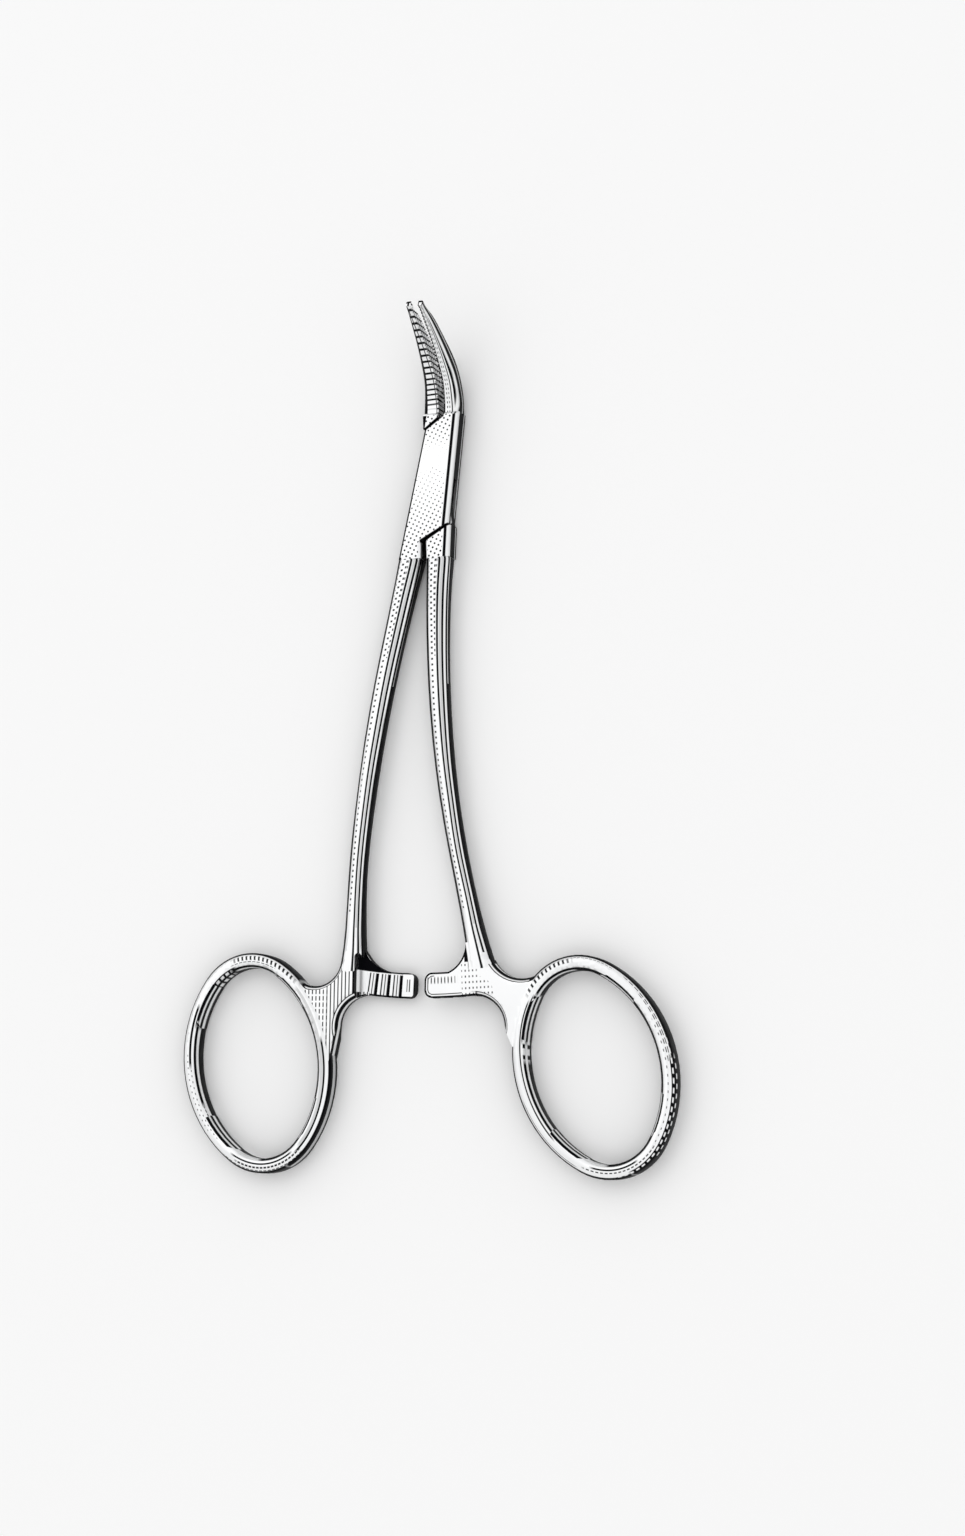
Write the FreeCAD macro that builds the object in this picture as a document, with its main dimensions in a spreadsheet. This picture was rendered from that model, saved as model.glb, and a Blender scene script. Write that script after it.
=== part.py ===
import FreeCAD, Part
import math
import os
import re

import Sketcher
from FreeCAD import Placement, Rotation, Vector

# Endodontic forceps lying flat, jaws curving up.
# The origin is on the pin's axis, in the plane that the back of the box lock rests on.
# +Z is the pin's axis, +Y runs to the jaw tips, and +X is the side of the male half's ring.
# The female half has the box, the left ring and the right jaw. The male half has the tongue,
# the right ring and the left jaw, and is drawn closed, then turned open by rest_opening.

# Driving sizes in millimetres and degrees, each with what it measures
SIZES = {
    "lock_thickness": (3.5, "box lock and shoulders, front to back"),
    "shortest_round_edge": (2.0, "shortest outer edge of the lock that is rounded"),
    "lock_edge_round": (0.5, "rounding of the lock's long edges"),
    "box_top_left": (1.7, "box's left edge, beside the jaws"),
    "box_top_right": (3.45, "box's right edge, beside the jaws"),
    "box_bottom_left": (5.3, "box's left edge at the crotch"),
    "box_bottom_right": (2.05, "box's right edge at the lower seam"),
    "upper_seam_left_drop": (2.6, "upper seam's left end below the jaws' base"),
    "upper_seam_right_drop": (0.55, "upper seam's right end below the jaws' base"),
    "lower_seam_left_reach": (9.5, "lower seam's left end below the pin"),
    "lower_seam_right_reach": (7.3, "lower seam's right end below the pin"),
    "seam_gap": (0.1, "between a male shoulder and the box when closed"),
    "crotch_reach": (12.0, "where the shanks part, below the pin"),
    "crotch_gap": (0.2, "between the shanks at the crotch when closed"),
    "tongue_left": (1.8, "tongue's left edge from the pin's axis"),
    "tongue_right": (1.4, "tongue's right edge from the pin's axis"),
    "tongue_thickness": (1.3, "tongue, front to back"),
    "slot_side_clearance": (0.05, "between the tongue's edge and the slot's wall"),
    "slot_face_clearance": (0.05, "between the tongue's face and a plate of the box"),
    "opening_limit": (36.0, "turn from the rest pose to fully open"),
    "slot_flare": (9.0, "spare turn of the slot's open sides"),
    "rest_opening": (2.8, "turn from closed to the rest pose"),
    "pin_diameter": (2.0, "lock pin"),
    "pin_clearance": (0.04, "between the pin and the tongue's bore"),
    "jaw_face_out": (1.155, "female jaw's gripping face from the pin's axis"),
    "jaw_base_reach": (8.9, "jaw's base above the pin"),
    "jaw_root_chamfer": (0.35, "bevel where the lock steps down to the jaw"),
    "jaw_lead": (1.42, "straight start of the jaw"),
    "bend_radius": (7.0, "jaw's tight bend, on its middle line"),
    "bend_turn": (48.0, "turn of the tight bend"),
    "sweep_radius": (36.0, "jaw's long sweep, on its middle line"),
    "sweep_turn": (18.5, "turn of the long sweep"),
    "jaw_base_width": (2.2, "jaw across, at its base"),
    "jaw_base_depth": (3.1, "jaw front to back, at its base"),
    "jaw_bend_width": (1.75, "jaw across, at the end of the bend"),
    "jaw_bend_depth": (2.7, "jaw front to back, at the end of the bend"),
    "jaw_tip_width": (0.7, "jaw across, at its tip"),
    "jaw_tip_depth": (0.85, "jaw front to back, at its tip"),
    "jaw_bevel_share": (0.18, "bevel of the jaw's back edges, as a share of its depth"),
    "jaw_base_gap": (0.35, "between the jaws' bases when the tips meet"),
    "jaw_tip_gap": (0.04, "running gap between the tips when closed"),
    "serration_pitch": (0.54, "from one groove of the jaw to the next"),
    "serration_width": (0.26, "groove of the jaw along the jaw"),
    "serration_depth": (0.14, "groove of the jaw into its face"),
    "shank_bevel": (0.75, "bevel of the shank's long edges"),
    "shank_lap": (0.5, "shank's start inside the lock"),
    "crotch_width": (3.4, "shank across, at the crotch"),
    "upper_width": (3.15, "shank across, a quarter down"),
    "middle_width": (2.85, "shank across, at its middle"),
    "lower_width": (2.5, "shank across, three quarters down"),
    "flare_width": (2.5, "shank across, above the ratchet arm"),
    "foot_width": (2.95, "shank across, at the ratchet arm"),
    "end_width": (3.7, "shank across, where it runs into the web"),
    "upper_thickness": (2.8, "shank front to back, a quarter down"),
    "middle_thickness": (2.6, "shank front to back, from its middle down"),
    "foot_thickness": (3.0, "shank front to back, at the ratchet arm"),
    "upper_run": (8.0, "from the crotch to the shank's quarter point"),
    "middle_run": (14.0, "from there to the shank's middle"),
    "lower_run": (14.0, "from there to the shank's three-quarter point"),
    "flare_run": (12.0, "from there to the start of the shank's flare"),
    "foot_run": (6.5, "from there to the shank's foot"),
    "end_run": (3.5, "from there to the shank's end in the web"),
    "female_upper_out": (5.5, "female shank's middle line from the pin, a quarter down"),
    "female_middle_out": (8.35, "female shank's middle line at its middle"),
    "female_lower_out": (10.35, "female shank's middle line three quarters down"),
    "female_flare_out": (11.2, "female shank's middle line at the flare"),
    "female_foot_out": (11.3, "female shank's middle line at the foot"),
    "female_end_out": (11.5, "female shank's middle line at its end"),
    "male_upper_out": (-0.65, "male shank's middle line from the pin, a quarter down"),
    "male_middle_out": (-0.72, "male shank's middle line at its middle"),
    "male_lower_out": (0.4, "male shank's middle line three quarters down"),
    "male_flare_out": (2.35, "male shank's middle line at the flare"),
    "male_foot_out": (3.6, "male shank's middle line at the foot"),
    "male_end_out": (4.3, "male shank's middle line at its end"),
    "ring_hole_width": (18.4, "finger ring's opening across"),
    "ring_hole_length": (26.9, "finger ring's opening along"),
    "ring_end_radius": (6.3, "finger ring's opening, bend of its two ends"),
    "ring_band": (2.05, "finger ring's band, seen from the front"),
    "ring_thickness": (3.4, "finger ring's band, front to back"),
    "ring_bevel": (0.6, "bevel of the finger ring's edges"),
    "female_ring_step": (13.97, "left ring's middle beyond the shank's end, outwards"),
    "female_ring_drop": (12.7, "left ring's middle beyond the shank's end, downwards"),
    "female_ring_lean": (9.2, "left ring's top leaning to the left"),
    "male_ring_step": (15.7, "right ring's middle beyond the shank's end, outwards"),
    "male_ring_drop": (14.4, "right ring's middle beyond the shank's end, downwards"),
    "male_ring_lean": (15.7, "right ring's top leaning to the left, closed"),
    "web_thickness": (2.9, "web between shank, ring and ratchet arm"),
    "web_bevel": (0.6, "bevel of the web's hollow edges"),
    "web_lap": (1.0, "web's reach up the shank from its end"),
    "web_seat": (0.25, "depth of the web's corners in shank and ring"),
    "female_valley_bend": (55.0, "half the turn of the hollow between left ring and shank"),
    "female_valley_turn": (41.0, "where that hollow meets the left ring"),
    "female_neck_turn": (-6.0, "where the web's inner edge meets the left ring"),
    "female_neck_step": (1.95, "web's inner edge beyond the left shank's end, outwards"),
    "male_valley_bend": (46.0, "half the turn of the hollow between right ring and shank"),
    "male_valley_turn": (72.0, "where that hollow meets the right ring"),
    "male_neck_turn": (24.0, "where the web's inner edge meets the right ring"),
    "male_neck_step": (3.2, "web's inner edge beyond the right shank's end, outwards"),
    "under_arm_radius": (4.4, "hollow between ratchet arm and ring"),
    "arm_drop": (3.9, "ratchet arm's upper edge beyond the shank's foot"),
    "arm_depth": (3.5, "ratchet arm from its upper to its lower edge"),
    "arm_floor": (0.35, "ratchet arm's outer face from the lock's face"),
    "arm_gap": (0.1, "running gap between the ratchet arms"),
    "arm_flare_bend": (34.0, "half the turn of the hollow between ratchet arm and shank"),
    "arm_flare_turn": (2.8, "length of the arm beyond that hollow, as a turn"),
    "arm_end_round": (1.1, "rounding of the arm's free end"),
    "female_arm_end": (1.82, "turn from the pin's line to the left arm's end"),
    "male_arm_end": (-3.05, "turn from the pin's line to the right arm's end, closed"),
    "tooth_pitch": (1.83, "from one ratchet tooth to the next"),
    "tooth_depth": (0.6, "ratchet tooth"),
    "tooth_crest": (0.35, "flat top of a ratchet tooth"),
    "tooth_end": (1.85, "plain end of the arm before its first groove"),
    "tooth_count": (3, "grooves of each ratchet"),
    "relief_step": (0.5, "wall of the ratchet's relief, inwards of the shank's foot"),
    "relief_rise": (2.9, "top of the ratchet's relief above the arm"),
    "relief_corner": (0.6, "rounding of the relief's top corner"),
    "relief_shoulder": (2.4, "how far the relief's top runs down beside the shank"),
}

document = FreeCAD.newDocument("EndodonticForceps")
sheet = document.addObject("Spreadsheet::Sheet", "Sizes")
for line, (alias, (value, meaning)) in enumerate(SIZES.items(), start=1):
    sheet.set(f"A{line}", meaning)
    sheet.set(f"B{line}", str(value))
    sheet.setAlias(f"B{line}", alias)
document.recompute()

MIDDLE = "(lock_thickness / 2)"
RING_MIDDLE = "(ring_thickness / 2)"
UPPER_REACH = "(crotch_reach + upper_run)"
MIDDLE_REACH = f"({UPPER_REACH} + middle_run)"
LOWER_REACH = f"({MIDDLE_REACH} + lower_run)"
FLARE_REACH = f"({LOWER_REACH} + flare_run)"
FOOT_REACH = f"({FLARE_REACH} + foot_run)"
END_REACH = f"({FOOT_REACH} + end_run)"
ARM_INNER = f"({FOOT_REACH} + arm_drop)"
ARM_OUTER = f"({ARM_INNER} + arm_depth)"
FEMALE_CREST = f"({MIDDLE} - arm_gap / 2)"
MALE_CREST = f"({MIDDLE} + arm_gap / 2)"


# Expressions


def sized(expression):
    """Name the sheet before each of its sizes in an expression."""
    return re.sub(r"[a-z_]+", lambda word: f"Sizes.{word[0]}" if word[0] in SIZES else word[0], expression)


def number(expression):
    """Work an expression out, in millimetres or degrees."""
    return float(sheet.evalExpression(sized(expression)))


def bind(thing, name, expression):
    """Tie one property of an object to the sheet."""
    thing.setExpression(name, sized(expression))


# Sketches and features


def new_body(name):
    """Start one solid."""
    return document.addObject("PartDesign::Body", name)


def origin_feature(body, role):
    """Find one of a body's own planes or axes."""
    return next(feature for feature in body.Origin.OriginFeatures if feature.Role == role)


def sketch_on(body, name, role, offset=None, turn_axis=None, turn=None):
    """Attach a sketch to one of the body's own planes, shifted and turned by expressions."""
    sketch = body.newObject("Sketcher::SketchObject", name)
    sketch.AttachmentSupport = [(origin_feature(body, role), "")]
    sketch.MapMode = "FlatFace"
    if turn:
        sketch.AttachmentOffset = Placement(Vector(), Rotation(turn_axis, 1.0))
        bind(sketch, "AttachmentOffset.Rotation.Angle", turn)
    for axis, expression in (offset or {}).items():
        bind(sketch, f"AttachmentOffset.Base.{axis}", expression)
    return sketch


def hold(sketch, kind, places, expression, name):
    """Add a named constraint and tie it to the sheet."""
    index = sketch.addConstraint(Sketcher.Constraint(kind, *places, number(expression)))
    sketch.renameConstraint(index, name)
    bind(sketch, f"Constraints.{name}", expression)


def arc_between(start, end, half_turn, centre_on_left):
    """Make the arc between two points that turns by twice an angle, drawn anticlockwise."""
    chord = end - start
    rise = chord.Length / 2 * math.tan(math.radians(half_turn) / 2)
    left = Vector(-chord.y, chord.x, 0).normalize()
    if centre_on_left:
        return Part.ArcOfCircle(start, (start + end) / 2 - left * rise, end)
    return Part.ArcOfCircle(end, (start + end) / 2 + left * rise, start)


def arc_radius(corner, following):
    """Give the radius of the arc that leaves a corner."""
    across = f"(({following[0]}) - ({corner[0]}))"
    along = f"(({following[1]}) - ({corner[1]}))"
    return f"sqrt({across} ^ 2 + {along} ^ 2) / (2 * sin({corner[2]}))"


def outline(sketch, corners):
    """Draw a closed outline. A corner is x, y and, where an arc leaves it, half turn and centre side."""
    points = [Vector(number(corner[0]), number(corner[1]), 0) for corner in corners]
    for index, corner in enumerate(corners):
        start = points[index]
        end = points[(index + 1) % len(points)]
        if len(corner) == 2:
            sketch.addGeometry(Part.LineSegment(start, end), False)
        else:
            sketch.addGeometry(arc_between(start, end, number(corner[2]), corner[3] == "left"), False)
    firsts = []
    for index, point in enumerate(points):
        near = sketch.Geometry[index].StartPoint.distanceToPoint(point) < 1e-6
        firsts.append(1 if near else 2)
    for index, corner in enumerate(corners):
        following = (index + 1) % len(corners)
        sketch.addConstraint(
            Sketcher.Constraint("Coincident", index, 3 - firsts[index], following, firsts[following])
        )
        hold(sketch, "DistanceX", (-1, 1, index, firsts[index]), corner[0], f"across{index}")
        hold(sketch, "DistanceY", (-1, 1, index, firsts[index]), corner[1], f"along{index}")
        if len(corner) > 2:
            radius = arc_radius(corner, corners[following])
            hold(sketch, "Radius", (index,), radius, f"radius{index}")
    return sketch


def bevelled_bar(sketch, across, width, height, bevel):
    """Draw a bar's section, a rectangle with bevelled corners, at a distance across."""
    left = f"({across} - ({width}) / 2)"
    right = f"({across} + ({width}) / 2)"
    half_height = f"(({height}) / 2)"
    return outline(
        sketch,
        [
            (f"{left} + {bevel}", f"-{half_height}"),
            (f"{right} - {bevel}", f"-{half_height}"),
            (right, f"-{half_height} + {bevel}"),
            (right, f"{half_height} - {bevel}"),
            (f"{right} - {bevel}", half_height),
            (f"{left} + {bevel}", half_height),
            (left, f"{half_height} - {bevel}"),
            (left, f"-{half_height} + {bevel}"),
        ],
    )


def pad(body, sketch, length):
    """Raise a sketch into a solid."""
    feature = body.newObject("PartDesign::Pad", f"{sketch.Name}Pad")
    feature.Profile = sketch
    bind(feature, "Length", length)
    sketch.Visibility = False
    document.recompute()
    return feature


def revolve(body, sketch, turn):
    """Turn a sketch about its own upright axis, half of the turn each way."""
    feature = body.newObject("PartDesign::Revolution", f"{sketch.Name}Turned")
    feature.Profile = sketch
    feature.ReferenceAxis = (sketch, ["V_Axis"])
    feature.Midplane = True
    bind(feature, "Angle", turn)
    sketch.Visibility = False
    document.recompute()
    return feature


def pocket(body, sketch, length):
    """Cut a sketch into the body, half each way, and make sure that it took something away."""
    before = body.Shape.Volume
    feature = body.newObject("PartDesign::Pocket", f"{sketch.Name}Cut")
    feature.Profile = sketch
    feature.Midplane = True
    bind(feature, "Length", length)
    document.recompute()
    if body.Shape.Volume >= before:
        raise RuntimeError(f"{feature.Name} cuts nothing")
    return feature


def round_edges(body, name, radius, wanted, kind="Fillet"):
    """Round or bevel the body's edges that a test picks out."""
    base = body.Tip
    picked = [f"Edge{index}" for index, edge in enumerate(base.Shape.Edges, start=1) if wanted(edge)]
    feature = body.newObject(f"PartDesign::{kind}", name)
    feature.Base = (base, picked)
    bind(feature, "Radius" if kind == "Fillet" else "Size", radius)
    document.recompute()
    return feature


def on_face(edge):
    """Tell whether an edge lies flat, in the front or back face of a padded form."""
    return edge.BoundBox.ZLength < 1e-6


def repeat_round(body, feature, axis, step, count, reverse=False):
    """Repeat a cut about an axis."""
    pattern = body.newObject("PartDesign::PolarPattern", f"{feature.Name}Row")
    pattern.Originals = [feature]
    pattern.Axis = axis
    pattern.Reversed = reverse
    bind(pattern, "Angle", f"({step}) * ({count} - 1)")
    bind(pattern, "Occurrences", count)
    body.Tip = pattern
    document.recompute()
    return pattern


def join(name, pieces):
    """Fuse forms of one forging."""
    forging = document.addObject("Part::MultiFuse", name)
    forging.Shapes = pieces
    forging.Refine = True
    document.recompute()
    return forging


def cut(name, base, tool):
    """Take one form away from another."""
    result = document.addObject("Part::Cut", name)
    result.Base = base
    result.Tool = tool
    result.Refine = True
    document.recompute()
    return result


# Lock


STEEP = 2.5


def long_edge(edge):
    """Tell whether an edge is one of the lock's long outer edges."""
    box = edge.BoundBox
    return on_face(edge) and box.YLength > max(STEEP * box.XLength, number("shortest_round_edge"))


def top_edge(edge):
    """Tell whether an edge runs across the lock where a jaw starts."""
    box = edge.BoundBox
    return on_face(edge) and abs(box.YMax - number("jaw_base_reach")) < 1e-6 and box.YLength < 1e-6


LEFT_SHANK_INNER = "(-box_bottom_left + crotch_width)"
MALE_CROTCH_OUT = "(-box_bottom_left + crotch_width + crotch_gap + crotch_width / 2)"
UPPER_SEAM_LEFT = "(jaw_base_reach - upper_seam_left_drop)"
UPPER_SEAM_RIGHT = "(jaw_base_reach - upper_seam_right_drop)"
UPPER_SEAM_SLOPE = "((upper_seam_left_drop - upper_seam_right_drop) / (jaw_face_out + box_top_left))"
LOWER_SEAM_RUN = f"(box_bottom_right - {LEFT_SHANK_INNER})"
LOWER_SEAM_SLOPE = f"((lower_seam_left_reach - lower_seam_right_reach) / {LOWER_SEAM_RUN})"
UPPER_SEAM_DROP = f"(seam_gap * sqrt(1 + {UPPER_SEAM_SLOPE} ^ 2))"
LOWER_SEAM_DROP = f"(seam_gap * sqrt(1 + {LOWER_SEAM_SLOPE} ^ 2))"
MALE_JAW_FACE = "(jaw_face_out - jaw_base_gap - jaw_tip_gap)"
MALE_JAW_LEFT = f"({MALE_JAW_FACE} - jaw_base_width)"


def lock_block(name, corners, bevelled=False):
    """Make one full-thickness region of the lock with rounded long edges."""
    body = new_body(name)
    pad(body, outline(sketch_on(body, f"{name}Outline", "XY_Plane"), corners), "lock_thickness")
    if bevelled:
        round_edges(body, f"{name}Bevel", "jaw_root_chamfer", top_edge, "Chamfer")
    round_edges(body, f"{name}Rounding", "lock_edge_round", long_edge)
    return body


def box_block():
    """Make the female half's box, from the crotch to the jaw's base."""
    corners = [
        ("-box_bottom_left", "-crotch_reach"),
        (LEFT_SHANK_INNER, "-crotch_reach"),
        (LEFT_SHANK_INNER, "-lower_seam_left_reach"),
        ("box_bottom_right", "-lower_seam_right_reach"),
        ("box_top_right", "jaw_base_reach"),
        ("jaw_face_out", "jaw_base_reach"),
        ("jaw_face_out", UPPER_SEAM_RIGHT),
        ("-box_top_left", UPPER_SEAM_LEFT),
    ]
    return lock_block("BoxBlock", corners, bevelled=True)


def slot_space():
    """Make the space in the box that the tongue crosses and turns in."""
    height = "(tongue_thickness + 2 * slot_face_clearance)"
    left = "(tongue_left + slot_side_clearance)"
    right = "(tongue_right + slot_side_clearance)"
    flare = "(opening_limit + slot_flare)"
    past = "(2 * box_bottom_left)"
    left_turn = f"({left} * tan({flare} / 2))"
    right_turn = f"({right} * tan({flare} / 2))"
    corners = [
        (f"-{left}", f"-{left_turn}"),
        (f"-{left}", "-crotch_reach"),
        (past, "-crotch_reach"),
        (past, f"{right_turn} - ({past} - {right}) / tan({flare})"),
        (right, right_turn),
        (f"({MALE_JAW_FACE} + slot_side_clearance + jaw_base_gap / 2)", "jaw_base_reach"),
        (f"-{past}", "jaw_base_reach"),
        (f"-{past}", f"({past} - {left}) / tan({flare}) - {left_turn}"),
    ]
    body = new_body("SlotSpace")
    offset = {"z": f"{MIDDLE} - {height} / 2"}
    pad(body, outline(sketch_on(body, "SlotOutline", "XY_Plane", offset), corners), height)
    return body


def shoulder_block():
    """Make the male half's full-thickness shoulder below the box."""
    left = f"({MALE_CROTCH_OUT} - crotch_width / 2)"
    right = f"({MALE_CROTCH_OUT} + crotch_width / 2)"
    corners = [
        (left, "-crotch_reach"),
        (right, "-crotch_reach"),
        ("box_bottom_right", f"-lower_seam_right_reach - {LOWER_SEAM_DROP}"),
        (left, f"-lower_seam_left_reach - {LOWER_SEAM_DROP} + {LOWER_SEAM_SLOPE} * crotch_gap"),
    ]
    return lock_block("ShoulderBlock", corners)


def jaw_root_block():
    """Make the male half's full-thickness root of the jaw above the box."""

    def seam_at(out):
        return f"{UPPER_SEAM_LEFT} + {UPPER_SEAM_DROP} + {UPPER_SEAM_SLOPE} * (box_top_left + {out})"

    corners = [
        (MALE_JAW_LEFT, seam_at(MALE_JAW_LEFT)),
        (MALE_JAW_FACE, seam_at(MALE_JAW_FACE)),
        (MALE_JAW_FACE, "jaw_base_reach"),
        (MALE_JAW_LEFT, "jaw_base_reach"),
    ]
    body = new_body("JawRootBlock")
    pad(body, outline(sketch_on(body, "JawRootOutline", "XY_Plane"), corners), "lock_thickness")
    round_edges(body, "JawRootBevel", "jaw_root_chamfer", top_edge, "Chamfer")
    return body


def tongue_block():
    """Make the male half's thin tongue from the shoulder to the jaw's root."""
    corners = [
        ("-tongue_left", "0"),
        ("-tongue_left", "-lower_seam_left_reach - crotch_gap"),
        ("tongue_right", "-lower_seam_left_reach - crotch_gap"),
        ("box_bottom_right", "-lower_seam_right_reach - seam_gap"),
        ("tongue_right", "0"),
        (MALE_JAW_FACE, "jaw_base_reach - jaw_root_chamfer"),
        (MALE_JAW_LEFT, "jaw_base_reach - jaw_root_chamfer"),
        (MALE_JAW_LEFT, UPPER_SEAM_LEFT),
    ]
    body = new_body("TongueBlock")
    offset = {"z": f"{MIDDLE} - tongue_thickness / 2"}
    pad(body, outline(sketch_on(body, "TongueOutline", "XY_Plane", offset), corners), "tongue_thickness")
    return body


def pin_cylinder(name, radius):
    """Make a cylinder on the pin's axis, as thick as the lock."""
    cylinder = document.addObject("Part::Cylinder", name)
    bind(cylinder, "Radius", radius)
    bind(cylinder, "Height", "lock_thickness")
    return cylinder


# Jaws

BEND_END_Y = "(jaw_lead + bend_radius * sin(bend_turn))"
BEND_END_Z = "(bend_radius * (1 - cos(bend_turn)))"
FULL_TURN = "(bend_turn + sweep_turn)"


def on_sweep(turn):
    """Give the middle line's place where the long sweep has reached a turn."""
    along = f"({BEND_END_Y} + sweep_radius * (sin({turn}) - sin(bend_turn)))"
    height = f"({BEND_END_Z} + sweep_radius * (cos(bend_turn) - cos({turn})))"
    return along, height


def taper(first, last, share):
    """Give a size that changes evenly from one to the other, at a share of the way."""
    return f"({first} + ({last} - {first}) * {share})"


def jaw_stations():
    """List the jaw's sections: place along and up, turn, width and depth."""
    stations = [("-jaw_root_chamfer", "0", "0", "jaw_base_width", "jaw_base_depth")]
    for share in ("1 / 3", "2 / 3", "1"):
        turn = f"(bend_turn * {share})"
        along = f"(jaw_lead + bend_radius * sin({turn}))"
        height = f"(bend_radius * (1 - cos({turn})))"
        width = taper("jaw_base_width", "jaw_bend_width", share)
        depth = taper("jaw_base_depth", "jaw_bend_depth", share)
        stations.append((along, height, turn, width, depth))
    for share in ("1 / 4", "1 / 2", "3 / 4", "1"):
        turn = f"(bend_turn + sweep_turn * {share})"
        width = taper("jaw_bend_width", "jaw_tip_width", share)
        depth = taper("jaw_bend_depth", "jaw_tip_depth", share)
        stations.append((*on_sweep(turn), turn, width, depth))
    return stations


def jaw_section(body, index, station, side):
    """Draw one section of a jaw: flat gripping face, bevelled back."""
    along, height, turn, width, depth = station
    offset = {"y": height, "z": f"-{along}"}
    turn_by = None if turn == "0" else turn
    sketch = sketch_on(body, f"{body.Name}Section{index}", "XZ_Plane", offset, Vector(1, 0, 0), turn_by)
    back = f"({side} * {width})"
    bevel = f"({depth} * jaw_bevel_share)"
    shoulder = f"({side} * ({width} - {bevel}))"
    half_depth = f"({depth} / 2)"
    return outline(
        sketch,
        [
            ("0", f"-{half_depth}"),
            (shoulder, f"-{half_depth}"),
            (back, f"-{half_depth} + {bevel}"),
            (back, f"{half_depth} - {bevel}"),
            (shoulder, half_depth),
            ("0", half_depth),
        ],
    )


def serration(body, name, centre, turn, radius):
    """Cut one groove across the gripping face, on a sketch whose origin is the bend's centre."""
    offset = {"x": centre[0], "y": centre[1]}
    sketch = sketch_on(body, name, "YZ_Plane", offset, Vector(0, 0, 1), turn)
    half = "serration_width / 2"
    outline(
        sketch,
        [
            (f"-{half}", f"-{radius} - jaw_base_depth"),
            (half, f"-{radius} - jaw_base_depth"),
            (half, f"-{radius} + jaw_base_depth"),
            (f"-{half}", f"-{radius} + jaw_base_depth"),
        ],
    )
    return pocket(body, sketch, "2 * serration_depth")


def jaw(name, side):
    """Make one curved jaw with its gripping face in the body's YZ plane."""
    body = new_body(name)
    sections = [jaw_section(body, index, station, side) for index, station in enumerate(jaw_stations())]
    loft = body.newObject("PartDesign::AdditiveLoft", f"{name}Form")
    loft.Profile = sections[0]
    loft.Sections = sections[1:]
    document.recompute()
    bend_centre = ("jaw_lead", "bend_radius")
    sweep_centre = (
        f"({BEND_END_Y} - sweep_radius * sin(bend_turn))",
        f"({BEND_END_Z} + sweep_radius * cos(bend_turn))",
    )
    bend_step = "(serration_pitch / bend_radius * 180 / pi)"
    sweep_step = "(serration_pitch / sweep_radius * 180 / pi)"
    first = serration(body, f"{name}BendGroove", bend_centre, None, "bend_radius")
    axis = (first.Profile[0], ["N_Axis"])
    repeat_round(body, first, axis, bend_step, f"floor(bend_turn / {bend_step}) + 1")
    start = f"(bend_turn + {sweep_step})"
    second = serration(body, f"{name}SweepGroove", sweep_centre, start, "sweep_radius")
    axis = (second.Profile[0], ["N_Axis"])
    repeat_round(body, second, axis, sweep_step, f"floor(sweep_turn / {sweep_step}) - 1")
    return body


# Shanks, rings, webs and ratchet arms


def shank(half, side, crotch_out):
    """Make one shank as a smooth form through its sections."""
    name = half.capitalize()
    body = new_body(f"{name}Shank")
    stations = [
        (crotch_out, "crotch_reach - shank_lap", "crotch_width", "lock_thickness"),
        (f"{side} * {half}_upper_out", UPPER_REACH, "upper_width", "upper_thickness"),
        (f"{side} * {half}_middle_out", MIDDLE_REACH, "middle_width", "middle_thickness"),
        (f"{side} * {half}_lower_out", LOWER_REACH, "lower_width", "middle_thickness"),
        (f"{side} * {half}_flare_out", FLARE_REACH, "flare_width", "middle_thickness"),
        (f"{side} * {half}_foot_out", FOOT_REACH, "foot_width", "foot_thickness"),
        (f"{side} * {half}_end_out", END_REACH, "end_width", "foot_thickness"),
    ]
    sections = []
    for index, (out, reach, width, thickness) in enumerate(stations):
        place = {"x": out, "y": MIDDLE, "z": reach}
        sketch = sketch_on(body, f"{name}ShankSection{index}", "XZ_Plane", place)
        sections.append(bevelled_bar(sketch, "0", width, thickness, "shank_bevel"))
    loft = body.newObject("PartDesign::AdditiveLoft", f"{name}ShankForm")
    loft.Profile = sections[0]
    loft.Sections = sections[1:]
    document.recompute()
    return body


END_ARC_OUT = "(ring_hole_length / 2 - ring_end_radius)"
HALF_HOLE = "(ring_hole_width / 2)"
SIDE_RADIUS = (
    f"(({HALF_HOLE} ^ 2 + {END_ARC_OUT} ^ 2 - ring_end_radius ^ 2)"
    f" / (2 * ({HALF_HOLE} - ring_end_radius)))"
)
SIDE_ARC_OUT = f"({SIDE_RADIUS} - {HALF_HOLE})"
SIDE_HALF_TURN = f"(atan({END_ARC_OUT} / {SIDE_ARC_OUT}) / 1 deg)"


def ring_centre(half, side):
    """Give the middle of a finger ring."""
    out = f"({side} * ({half}_end_out + {half}_ring_step))"
    return out, f"(-{END_REACH} - {half}_ring_drop)"


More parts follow.
